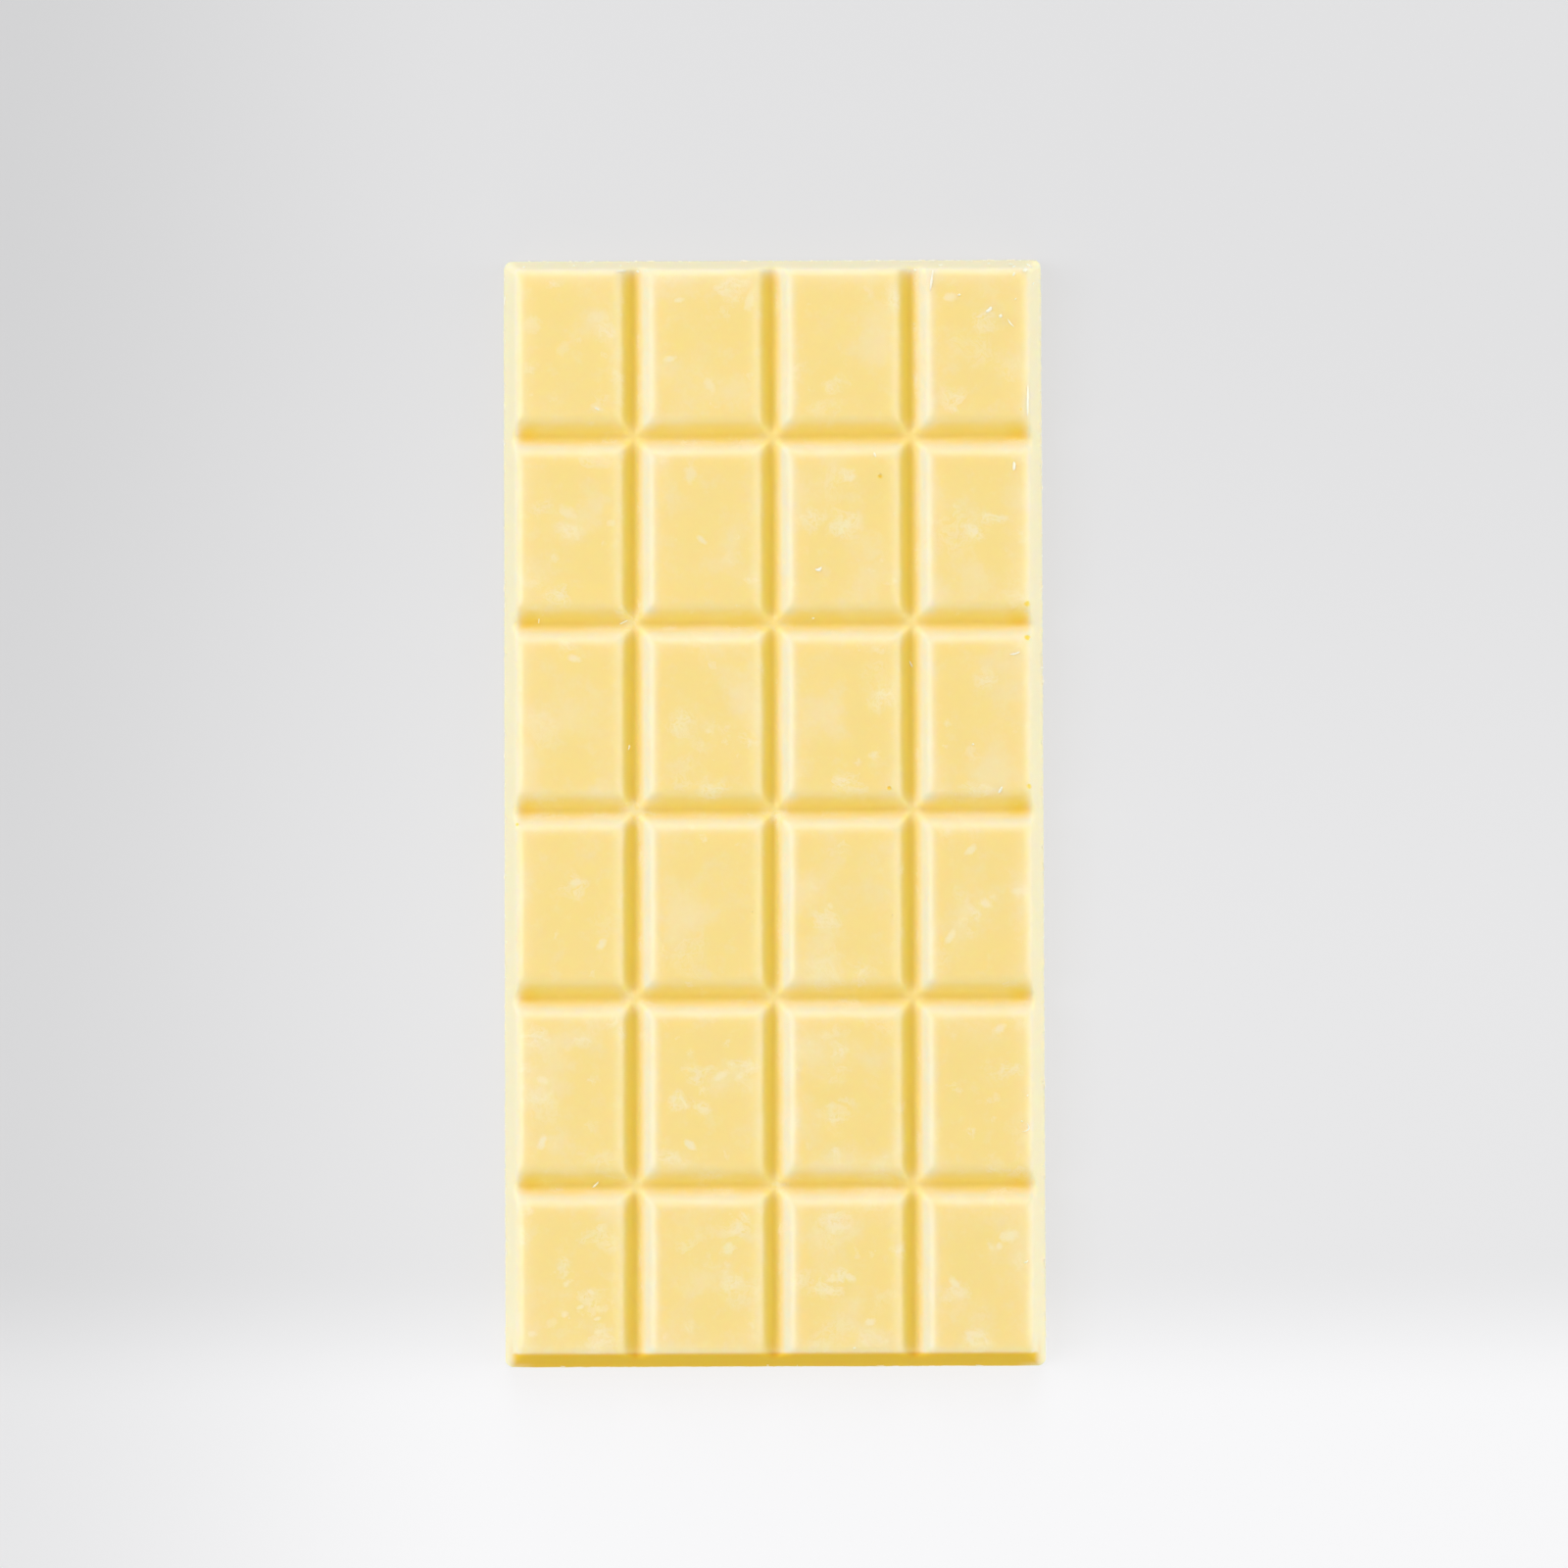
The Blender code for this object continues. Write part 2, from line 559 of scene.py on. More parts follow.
PALE_SPOTS = (
    Spot(-27.7, -10.1, 2.6, 1.3, 20),
    Spot(-27.9, 21.3, 2.2, 1.2, -15),
    Spot(-24.7, 56.5, 1.8, 0.8, -25),
    Spot(-10.0, 37.9, 2.0, 0.9, -40),
    Spot(-13.1, 71.6, 1.5, 0.8, 5),
    Spot(-14.4, 63.3, 2.0, 1.0, 15),
    Spot(-24.1, -18.7, 2.2, 1.2, 60),
    Spot(-32.5, -46.4, 2.4, 1.2, 70),
    Spot(-32.4, -37.7, 2.0, 1.3, -20),
    Spot(-7.6, -37.1, 2.8, 1.2, 30),
    Spot(-11.8, -46.8, 2.2, 1.3, -35),
    Spot(27.5, -5.7, 2.4, 1.2, 40),
    Spot(29.6, -13.2, 2.0, 1.4, -10),
    Spot(24.6, -17.8, 2.6, 1.1, 55),
    Spot(32.6, -59.6, 3.0, 2.0, 10),
    Spot(31.2, -61.0, 1.4, 1.0, 60),
    Spot(10.4, -65.3, 2.0, 1.2, -30),
    Spot(13.2, -71.5, 1.8, 1.1, 15),
    Spot(31.4, -30.7, 2.2, 1.3, 35),
    Spot(25.0, -66.1, 2.4, 1.2, -50),
    Spot(-24.2, 69.2, 3.6, 2.2, 10, 0.6),
    Spot(-33.7, 68.2, 2.8, 2.8, 30, 0.6),
    Spot(-8.8, 59.6, 2.6, 1.5, -60, 0.7),
    Spot(-11.5, 47.2, 3.0, 1.9, 80, 0.7),
    Spot(-28.8, 41.8, 3.0, 1.8, -30, 0.7),
    Spot(-22.7, 40.3, 1.6, 1.1, 0, 0.7),
    Spot(-3.2, 71.4, 3.4, 1.4, 75, 0.8),
    Spot(-29.3, 64.8, 2.6, 1.8, 45, 0.5),
    Spot(-25.7, -67.2, 1.4, 0.8, -20),
    Spot(-27.2, -69.3, 1.3, 0.7, 20),
    Spot(-26.2, -68.5, 1.8, 1.1, 40, 0.7),
    Spot(-29.4, -70.3, 1.3, 1.0),
    Spot(-24.8, -70.9, 1.1, 0.6, 10),
    Spot(-24.6, -72.7, 1.5, 0.9, 10),
    Spot(-33.9, -73.0, 1.5, 1.0),
    Spot(-31.2, -71.5, 2.2, 1.4, 30, 0.5),
    Spot(25.0, 71.9, 2.2, 1.5, 10, 0.9),
    # A painted highlight on the lit shoulder of a groove, not a fleck
    Spot(21.2, 74.9, 3.4, 1.0, 90),
)
# Painted shade in the hollows of the air bubbles
PAINTED_SHADE_SPOTS = (
    Spot(35.6, 28.8, 1.0, 0.9),
    Spot(35.6, 24.1, 1.0, 0.9),
    Spot(35.7, 3.2, 0.9, 0.8),
    Spot(16.1, 3.0, 0.7, 0.6),
    Spot(-35.9, -1.9, 0.7, 0.6),
    Spot(15.0, 46.7, 0.8, 0.7),
    Spot(34.8, 56.1, 0.4, 0.4, 0, 0.7),
)


# The masks that the bar's geometry tree stores, which place painted highlights on the lit shoulders and
# the rims, painted shade in the grooves, a painted glow at the groove ends, painted light on the outer
# walls and painted shade on the near wall, and how far each keeps the flecks away
MASKS = ("painted_edge_highlight", "painted_rim_highlight", "sunk", "painted_end_glow", "outer_wall", "near_wall")
FLECK_LOSS = {"painted_edge_highlight": 0.5, "sunk": 1.0, "outer_wall": 1.0, "near_wall": 1.0}


@dataclass(frozen=True)
class FleckSize:
    """One size of pale fleck: how far apart, how many, how large in its cell and how strong."""

    spacing: float
    coverage: float
    reach: float
    strength: float = 1.0

    def mask(
        self, build: TreeBuilder, flecks: bpy.types.NodeTree, place: Socket, coverage: Any = None
    ) -> Socket:
        """Draws flecks of this size in a material.

        Args:
            build: The material's tree builder.
            flecks: The group that draws pale flecks.
            place: Where the pattern is read.
            coverage: How many there are, where that changes over the bar.

        Returns:
            The mask's socket.
        """
        drawn = build.group(
            flecks,
            Vector=place,
            Spacing=self.spacing,
            Coverage=self.coverage if coverage is None else coverage,
            Reach=self.reach,
        )
        return build.math("MULTIPLY", drawn.outputs["Mask"], self.strength)


@dataclass(frozen=True)
class ChocolateFinish:
    """White chocolate: an ivory yellow with a random paler and deeper tone and pale flecks, painted
    highlights on its shoulders and rims, painted light on its outer walls, and painted shade in its
    grooves, its bubble hollows and on its near wall.
    """

    name: str
    body: Colour
    # Past the body: pale is a painted highlight on the shoulders; deep is a random deeper tone and also
    # painted shade in the grooves and bubble hollows; the colour after it is a painted glow at the
    # groove ends; rim is a random paler tone and also a painted highlight along the rims; wall is
    # painted light on the outer walls; shaded is painted shade on the near wall
    pale: Colour
    deep: Colour
    painted_end_glow: Colour
    rim: Colour
    wall: Colour
    shaded: Colour
    fleck: Colour
    roughness: float = 0.31
    roughness_spread: Step = (-0.04, 0.05)
    roughness_scale: float = 500.0
    roughness_cloud: Step = (0.3, 0.7)
    peel: float = 0.016 * MM
    grain: float = 0.002 * MM
    sheen: float = 0.6
    wall_dulling: float = 0.5
    ior: float = 1.46
    scatter_share: float = 1.0
    scatter: tuple[float, float, float] = (1.0, 0.8, 0.35)
    scatter_depth: float = 2.0 * MM
    broad_scale: float = 110.0
    broad_deeper: Ramp = (0.62, 0.30, 0.0, 0.10)
    broad_paler: Ramp = (0.48, 0.72, 0.0, 0.42)
    cloudy_scale: float = 380.0
    cloudy_paler: Ramp = (0.52, 0.74, 0.0, 0.24)
    # How unevenly the painted highlights lie over the face
    glow_scale: float = 260.0
    glow_share: Ramp = (0.3, 0.7, 0.78, 1.12)
    streaks: FleckSize = FleckSize(4.2 * MM, 0.48, 0.5)
    streak_crowding: Ramp = (-20 * MM, -34 * MM, 0.48, 0.8)
    streak_turn: float = math.radians(35)
    streak_stretch: float = 0.8
    patches: FleckSize = FleckSize(6.5 * MM, 0.6, 0.55, 0.6)
    specks: FleckSize = FleckSize(1.7 * MM, 0.07, 0.42, 0.8)
    fleck_strength: float = 0.85
    pale_spots: Sequence[Spot] = ()
    painted_shade_spots: Sequence[Spot] = ()

    def material(
        self, flecks: bpy.types.NodeTree, skin: bpy.types.NodeTree, spot: bpy.types.NodeTree
    ) -> bpy.types.Material:
        """Builds the material.

        Args:
            flecks: The group that draws pale flecks.
            skin: The group that gives the skin's height.
            spot: The group that draws one soft spot.

        Returns:
            The material.
        """
        made = bpy.data.materials.new(self.name)
        made.use_nodes = True
        made.diffuse_color = self.body
        build = TreeBuilder(made.node_tree)
        shader = made.node_tree.nodes["Principled BSDF"]
        place = build.node("ShaderNodeTexCoord").outputs["Object"]
        masks = {
            name: build.node("ShaderNodeAttribute", attribute_name=name).outputs["Fac"]
            for name in MASKS
        }
        colour = self.shaded_colour(build, place, masks)
        mask = self.fleck_mask(build, place, flecks)
        for name, loss in FLECK_LOSS.items():
            mask = build.math("MULTIPLY", mask, build.ramp(masks[name], 0.0, 1.0, 1.0, 1.0 - loss))
        for pale in self.pale_spots:
            mask = build.math("MAXIMUM", mask, pale.mask(build, place, spot))
        colour = build.mix_colour(build.math("MULTIPLY", mask, self.fleck_strength), colour, self.fleck)
        # Painted shade in the bubble hollows
        for hollow in self.painted_shade_spots:
            colour = build.mix_colour(hollow.mask(build, place, spot), colour, self.deep)
        build.feed(shader.inputs["Base Color"], colour)
        bare = build.math("MULTIPLY", masks["outer_wall"], self.wall_dulling)
        bare = build.math("MAXIMUM", bare, masks["near_wall"])
        self.finish_surface(build, shader, place, skin, bare)
        return made

    def finish_surface(
        self,
        build: TreeBuilder,
        shader: bpy.types.Node,
        place: Socket,
        skin: bpy.types.NodeTree,
        bare: Socket,
    ) -> None:
        """Gives the material its roughness, its relief, its depth and its sheen.

        Args:
            build: The material's tree builder.
            shader: The material's shader.
            place: The object coordinates.
            skin: The group that gives the skin's height.
            bare: Where the sheen is missing.
        """
        cloud = build.noise(place, self.roughness_scale, detail=3.0).outputs["Fac"]
        ends = [self.roughness + change for change in self.roughness_spread]
        build.feed(shader.inputs["Roughness"], build.ramp(cloud, *self.roughness_cloud, *ends))
        bump = build.node("ShaderNodeBump")
        bump.inputs["Strength"].default_value = 1.0
        bump.inputs["Distance"].default_value = 1.0
        height = build.group(skin, Vector=place, Peel=self.peel, Grain=self.grain)
        build.feed(bump.inputs["Height"], height.outputs["Height"])
        build.feed(shader.inputs["Normal"], bump.outputs["Normal"])
        for name, value in (
            ("Subsurface Weight", self.scatter_share),
            ("Subsurface Radius", self.scatter),
            ("Subsurface Scale", self.scatter_depth),
            ("IOR", self.ior),
            ("Specular IOR Level", 0.0),
            ("Coat Roughness", self.roughness),
            ("Coat IOR", self.ior),
            ("Coat Weight", build.math("MULTIPLY_ADD", bare, -self.sheen, self.sheen)),
        ):
            build.feed(shader.inputs[name], value)

    def shaded_colour(self, build: TreeBuilder, place: Socket, masks: dict[str, Socket]) -> Socket:
        """The chocolate's colour: broad random mottling, with painted highlights on the shoulders and
        rims, painted shade in the grooves, a painted glow at the groove ends, painted light on the
        outer walls and painted shade on the near wall.

        Args:
            build: The material's tree builder.
            place: The object coordinates.
            masks: Where the painted highlights, shade, glow and wall light go.

        Returns:
            The colour's socket.
        """
        broad = build.noise(place, self.broad_scale, detail=4.0, roughness=0.6).outputs["Fac"]
        cloudy = build.noise(place, self.cloudy_scale, detail=3.0, roughness=0.55).outputs["Fac"]
        colour = build.mix_colour(build.ramp(broad, *self.broad_deeper), self.body, self.deep)
        colour = build.mix_colour(build.ramp(broad, *self.broad_paler), colour, self.rim)
        colour = build.mix_colour(build.ramp(cloudy, *self.cloudy_paler), colour, self.rim)
        # Painted shade deep in the grooves, and a painted glow at their ends by the long sides
        colour = build.mix_colour(masks["sunk"], colour, self.deep)
        colour = build.mix_colour(masks["painted_end_glow"], colour, self.painted_end_glow)
        uneven = build.noise(place, self.glow_scale, detail=3.0, roughness=0.6).outputs["Fac"]
        uneven = build.ramp(uneven, *self.glow_share)
        # Painted highlights along the rims and on the lit shoulders of the grooves
        for name, paler in (("painted_rim_highlight", self.rim), ("painted_edge_highlight", self.pale)):
            share = build.math("MULTIPLY", masks[name], uneven, clamp=True)
            colour = build.mix_colour(share, colour, paler)
        # Painted light on the outer walls, and painted shade on the near wall
        colour = build.mix_colour(masks["outer_wall"], colour, self.wall)
        return build.mix_colour(masks["near_wall"], colour, self.shaded)

    def fleck_mask(self, build: TreeBuilder, place: Socket, flecks: bpy.types.NodeTree) -> Socket:
        """Where the pale flecks are, in three sizes.

        Args:
            build: The material's tree builder.
            place: The object coordinates.
            flecks: The group that draws pale flecks.

        Returns:
            The mask's socket.
        """
        crowded = build.ramp(build.split(place)[1], *self.streak_crowding)
        turned = build.node("ShaderNodeMapping")
        build.feed(turned.inputs["Vector"], place)
        turned.inputs["Rotation"].default_value = (0.0, 0.0, self.streak_turn)
        turned.inputs["Scale"].default_value = (self.streak_stretch, 1.0, 1.0)
        streaks = self.streaks.mask(build, flecks, turned.outputs["Vector"], crowded)
        patches = self.patches.mask(build, flecks, place)
        specks = self.specks.mask(build, flecks, place)
        return build.math("MAXIMUM", build.math("ADD", streaks, patches), specks, clamp=True)


@dataclass(frozen=True)
class FloorFinish:
    """A plain pale light table: it glows a little, more at its near part and less at its far left."""

    name: str = "pale_table"
    colour: Colour = (0.14, 0.14, 0.143, 1.0)
    glow: Colour = (0.595, 0.595, 0.60, 1.0)
    cloud_scale: float = 4.0
    cloud: Ramp = (0.3, 0.7, 0.99, 1.0)
    near_light: Ramp = (-0.062, -0.084, 1.0, 1.17)
    left_light: Ramp = (-0.12, -0.035, 0.84, 1.0)
    middle_light: Ramp = (0.085, -0.03, 1.0, 1.06)
    roughness: float = 0.75

    def material(self) -> bpy.types.Material:
        """Builds the material.

        Returns:
            The material.
        """
        made = bpy.data.materials.new(self.name)
        made.use_nodes = True
        build = TreeBuilder(made.node_tree)
        shader = made.node_tree.nodes["Principled BSDF"]
        place = build.node("ShaderNodeTexCoord").outputs["Object"]
        x, y, _ = build.split(place)
        cloud = build.noise(place, self.cloud_scale, detail=2.0).outputs["Fac"]
        tone = build.ramp(cloud, *self.cloud)
        for along, light in ((y, self.near_light), (x, self.left_light), (y, self.middle_light)):
            tone = build.math("MULTIPLY", tone, build.ramp(along, *light))
        for name, colour in (("Base Color", self.colour), ("Emission Color", self.glow)):
            parts = [build.math("MULTIPLY", tone, part) for part in colour[:3]]
            build.feed(shader.inputs[name], build.join(*parts))
        shader.inputs["Emission Strength"].default_value = 1.0
        shader.inputs["Roughness"].default_value = self.roughness
        return made


@dataclass(frozen=True)
class Finishes:
    """The materials that the pieces share."""

    chocolate: bpy.types.Material
    shaving: bpy.types.Material
    table: bpy.types.Material

    @classmethod
    def build(cls) -> "Finishes":
        """Builds the shared groups and the materials.

        Returns:
            The finishes.
        """
        flecks = FleckPattern().group()
        skin = CastSkin().group()
        spot = SoftSpot().group()
        chocolate = ChocolateFinish(
            name="ivory_chocolate",
            body=(0.95, 0.736, 0.312, 1.0),
            # Past the body: a painted highlight, a deeper tone that is also painted shade, a painted
            # glow at the groove ends, a paler tone that is also a painted rim highlight, painted light
            # on the outer walls and painted shade on the near wall
            pale=(0.82, 0.79, 0.60, 1.0),
            deep=(0.99, 0.71, 0.125, 1.0),
            painted_end_glow=(0.99, 0.665, 0.035, 1.0),
            rim=(0.96, 0.81, 0.57, 1.0),
            wall=(0.99, 0.82, 0.48, 1.0),
            shaded=(0.90, 0.53, 0.05, 1.0),
            fleck=(0.99, 0.82, 0.555, 1.0),
            pale_spots=PALE_SPOTS,
            painted_shade_spots=PAINTED_SHADE_SPOTS,
        )
        shaving = ChocolateFinish(
            name="ivory_shavings",
            body=(0.99, 0.95, 0.78, 1.0),
            pale=(0.98, 0.95, 0.84, 1.0),
            deep=(0.96, 0.88, 0.66, 1.0),
            painted_end_glow=(0.96, 0.88, 0.66, 1.0),
            rim=(0.98, 0.95, 0.84, 1.0),
            wall=(0.98, 0.95, 0.84, 1.0),
            shaded=(0.96, 0.88, 0.66, 1.0),
            fleck=(0.98, 0.96, 0.88, 1.0),
            roughness=0.5,
            scatter_share=0.0,
        )
        return cls(
            chocolate=chocolate.material(flecks, skin, spot),
            shaving=shaving.material(flecks, skin, spot),
            table=FloorFinish().material(),
        )


# ---------------------------------------------------------------------------------------------
# The bar
# ---------------------------------------------------------------------------------------------


@dataclass
class BreakGrooves:
    """The grid of grooves across the moulded face, and how softly its edges are rounded."""

    columns: int = 4
    rows: int = 6
    column_pitch: float = 19.45 * MM
    row_pitch: float = 26.25 * MM
    mouth: float = 3.8 * MM
    floor: float = 0.9 * MM
    depth: float = 2.6 * MM
    shoulder_blend: float = 3.1 * MM
    corner_blend: float = 1.8 * MM
    floor_blend: float = 1.2 * MM

    @staticmethod
    def places(count: int, pitch: float) -> list[float]:
        """Where the grooves between a number of strips run.

        Args:
            count: The number of strips.
            pitch: The distance from groove to groove.

        Returns:
            The grooves' places, centred on zero.
        """
        return [(index - (count - 2) / 2) * pitch for index in range(count - 1)]


@dataclass(frozen=True)
class GrooveShade:
    """How the painted shade in one set of grooves and the painted highlights on their shoulders run
    across them.

    Distances are off the groove's middle and grow towards the side that the light reaches.
    """

    deep_start: tuple[float, float] = (-2.3 * MM, -0.7 * MM)
    deep_end: tuple[float, float] = (0.80 * MM, 0.05 * MM)
    depth: float = 1.0
    lit_start: tuple[float, float] = (0.7 * MM, 1.5 * MM)
    lit_peak: float = 1.7 * MM
    lit_reach: float = 4.1 * MM
    lit_glow: float = 1.0
    dim_start: tuple[float, float] = (-1.3 * MM, -2.1 * MM)
    dim_reach: float = -4.2 * MM
    dim_glow: float = 0.25


@dataclass(frozen=True)
class MaskBorders:
    """Where the painted highlights, shade and glow on the skin start and end, in metres.

    They are read off the nearest crossing, the face's rim, the back and the near corners.
    """

    crossing_deep: Step = (0.4 * MM, 3.0 * MM)
    crossing_share: float = 0.25
    crossing_glow: Step = (0.4 * MM, 2.2 * MM)
    rim_fade: Ramp = (0.6 * MM, 2.2 * MM, -0.6 * MM, -1.05 * MM)
    rim_deep: Step = (-0.5 * MM, 0.25 * MM)
    painted_end_glow: Step = (4.0 * MM, 0.8 * MM)
    back: Step = (0.0, 0.2 * MM)
    front: Step = (0.5 * MM, 2.0 * MM)
    wall: Step = (0.0, -0.4 * MM)
    near_wall: Step = (-0.4 * MM, 0.15 * MM)
    near_corner: Step = (1.8 * MM, 0.1 * MM)
    near_foot: Step = (-1.0 * MM, 1.0 * MM)


@dataclass(frozen=True)
class CastWaves:
    """The gentle waves of the cast skin, and the rough poured edge at the back."""

    long_scale: float = 110.0
    long_share: float = 2.0
    short_scale: float = 520.0
    short_share: float = 0.5
    off_table: Step = (0.0, 0.3 * MM)
    jagged_scale: float = 1400.0
    patch_scale: float = 60.0
    patches: Ramp = (0.35, 0.65, 0.35, 1.0)
    edge_band: Step = (0.9 * MM, 0.0)

    def add(self, build: TreeBuilder, given: Any, geometry: Socket) -> Socket:
        """Makes the cast skin gently uneven and the poured edge at the back rough.

        Args:
            build: The tree's builder.
            given: The tree's inputs.
            geometry: The grooved bar.

        Returns:
            The geometry with its uneven skin.
        """
        position = build.node("GeometryNodeInputPosition").outputs[0]
        _, _, z = build.split(position)
        long_wave = build.noise(position, self.long_scale, detail=2.0)
        short_wave = build.noise(position, self.short_scale, detail=2.0)
        shift = build.vector(
            "ADD",
            build.shift(long_wave, self.long_share),
            build.shift(short_wave, self.short_share),
        )
        shift = build.vector("SCALE", shift, given["Wave Height"])
        jagged = build.noise(position, self.jagged_scale, detail=3.0, roughness=0.7)
        patchy = build.noise(position, self.patch_scale, detail=2.0).outputs["Fac"]
        at_back = build.ramp(z, *self.edge_band)
        patchy = build.ramp(patchy, *self.patches)
        strength = build.chain("MULTIPLY", at_back, patchy, given["Edge Roughness"])
        shift = build.vector("ADD", shift, build.shift(jagged, strength))
        shift_x, shift_y, shift_z = build.split(shift)
        off_table = build.ramp(z, *self.off_table)
        lifted = build.join(shift_x, shift_y, build.math("MULTIPLY", shift_z, off_table))
        moved = build.node("GeometryNodeSetPosition")
        build.feed(moved.inputs["Geometry"], geometry)
        build.feed(moved.inputs["Offset"], lifted)
        return moved.outputs[0]


@dataclass
class AirBubble:
    """A small bubble that broke the cast surface: its place on the face and its size."""

    x: float
    y: float
    radius: float
    stretch: float = 1.0


@dataclass
class MouldedBar:
    """The bar itself: a leaning-walled slab, grooved by Geometry Nodes and pitted by bubbles."""

    low: Vector
    high: Vector
    grooves: BreakGrooves = field(default_factory=BreakGrooves)
    wall_lean: float = 2.1 * MM
    rim_radius: float = 1.4 * MM
    rim_steps: int = 6
    back_radius: float = 0.2 * MM
    back_steps: int = 5
    plan_radius: float = 1.2 * MM
    plan_steps: int = 5
    wave_height: float = 0.05 * MM
    edge_roughness: float = 0.35 * MM
    rim_band: float = 1.6 * MM
    rim_band_step: float = 0.384 * MM
    fine_step: float = 0.24 * MM
    fine_share: float = 0.8
    coarse_step: float = 0.9 * MM
    wall_step: float = 0.33 * MM
    back_step: float = 2.2 * MM
    smooth_angle: float = math.radians(50)
    bubble_lift: float = 0.1
    bubble_detail: int = 3
    waves: CastWaves = CastWaves()
    borders: MaskBorders = MaskBorders()
    shades: tuple[GrooveShade, GrooveShade] = (
        GrooveShade(),
        GrooveShade(
            deep_start=(-2.9 * MM, -0.4 * MM),
            deep_end=(0.80 * MM, 0.0 * MM),
            depth=0.74,
            lit_reach=3.8 * MM,
            lit_glow=0.66,
            dim_glow=0.12,
        ),
    )
    # How strong the painted highlight along each rim is, strongest on the sides that the lamps light
    # most
    painted_rim_highlight: dict[Side, float] = field(
        default_factory=lambda: {Side.LEFT: 1.0, Side.RIGHT: 0.8, Side.FAR: 1.05, Side.NEAR: 0.6}
    )
    bubbles: Sequence[AirBubble] = (
        AirBubble(35.8 * MM, 28.8 * MM, 0.42 * MM, 1.3),
        AirBubble(35.8 * MM, 24.1 * MM, 0.42 * MM, 1.4),
        AirBubble(35.8 * MM, 3.2 * MM, 0.40 * MM, 1.4),
        AirBubble(-35.9 * MM, -1.9 * MM, 0.28 * MM, 1.4),
        AirBubble(15.1 * MM, 46.8 * MM, 0.30 * MM, 1.0),
        AirBubble(16.2 * MM, 3.0 * MM, 0.26 * MM, 1.2),
        AirBubble(1.9 * MM, -2.2 * MM, 0.14 * MM, 1.0),
        AirBubble(16.4 * MM, -14.8 * MM, 0.14 * MM, 1.0),
        AirBubble(-3.1 * MM, -14.3 * MM, 0.13 * MM, 1.0),
        AirBubble(16.9 * MM, -49.3 * MM, 0.14 * MM, 1.0),
    )

    @property
    def thickness(self) -> float:
        """The bar's height over the table."""
        return self.high.z - self.low.z

    @property
    def front_half(self) -> tuple[float, float]:
        """Half the width and half the length of the moulded face, before its rim is rounded."""
        return (
            (self.high.x - self.low.x) / 2 - self.wall_lean,
            (self.high.y - self.low.y) / 2 - self.wall_lean,
        )

    @property
    def wall_angle(self) -> float:
        """How far the outer wall turns down from the moulded face, in radians."""
        return math.pi / 2 - math.atan2(self.wall_lean, self.thickness)

    @property
    def measures(self) -> dict[str, float]:
        """The geometry tree's measures, by the names of its inputs."""
        grooves = self.grooves
        return {
            "Column Pitch": grooves.column_pitch,
            "Row Pitch": grooves.row_pitch,
            "Column Reach": (grooves.columns - 2) / 2,
            "Row Reach": (grooves.rows - 2) / 2,
            "Mouth": grooves.mouth,
            "Floor": grooves.floor,
            "Depth": grooves.depth,
            "Thickness": self.thickness,
            "Face Half Width": self.front_half[0],
            "Face Half Length": self.front_half[1],
            "Corner Blend": grooves.corner_blend,
            "Shoulder Blend": grooves.shoulder_blend,
            "Floor Blend": grooves.floor_blend,
            "Wave Height": self.wave_height,
            "Edge Roughness": self.edge_roughness,
        }

    def section(self) -> list[tuple[float, float]]:
        """The outer wall's section, from the edge of the flat face down to the back.

        Returns:
            Pairs of how far out from the face's sharp rim, and the height.
        """
        bend = self.wall_angle
        top = self.thickness
        reach = self.rim_radius * math.tan(bend / 2)
        turns = [bend * step / self.rim_steps for step in range(self.rim_steps + 1)]
        points = [
            (-reach + self.rim_radius * math.sin(turn), top - self.rim_radius * (1 - math.cos(turn)))
            for turn in turns
        ]
        centre = self.wall_lean - self.back_radius / math.tan(bend / 2)
        rest = math.pi - bend
        turns = [bend + rest * step / self.back_steps for step in range(self.back_steps + 1)]
        arc = [
            (centre + self.back_radius * math.sin(turn), self.back_radius * (1 + math.cos(turn)))
            for turn in turns
        ]
        start, end = points[-1], arc[0]
        count = max(2, round((start[1] - end[1]) / self.wall_step))
        for step in range(1, count):
            share = step / count
            points.append(
                (start[0] + (end[0] - start[0]) * share, start[1] + (end[1] - start[1]) * share)
            )
        return points + arc

    def grid_lines(self, half: float, grooves: Iterable[float]) -> list[float]:
        """Where the grid lines of the moulded face run along one axis.

        Args:
            half: Half the size of the flat face along that axis.
            grooves: The places of the grooves that cross that axis.

        Returns:
            The lines' places, close together in the grooves and in the plan corners.
        """
        straight = half - self.plan_radius
        fine_half = self.grooves.mouth / 2 + self.grooves.shoulder_blend * self.fine_share
        marks = [(-straight, self.coarse_step), (-straight + self.rim_band, self.rim_band_step)]
        for place in grooves:
            marks.append((place - fine_half, self.coarse_step))
            marks.append((place + fine_half, self.fine_step))
        marks.append((straight - self.rim_band, self.coarse_step))
        marks.append((straight, self.rim_band_step))
        lines = [marks[0][0]]
        for (start, _), (end, step) in zip(marks, marks[1:]):
            count = max(1, round((end - start) / step))
            lines += [start + (end - start) * (index + 1) / count for index in range(count)]
        bend = math.pi / 4 / self.plan_steps
        corner = [
            self.plan_radius * math.sqrt(2) * math.sin(bend * (index + 1))
            for index in range(self.plan_steps)
        ]
        return [-straight - c for c in reversed(corner)] + lines + [straight + c for c in corner]

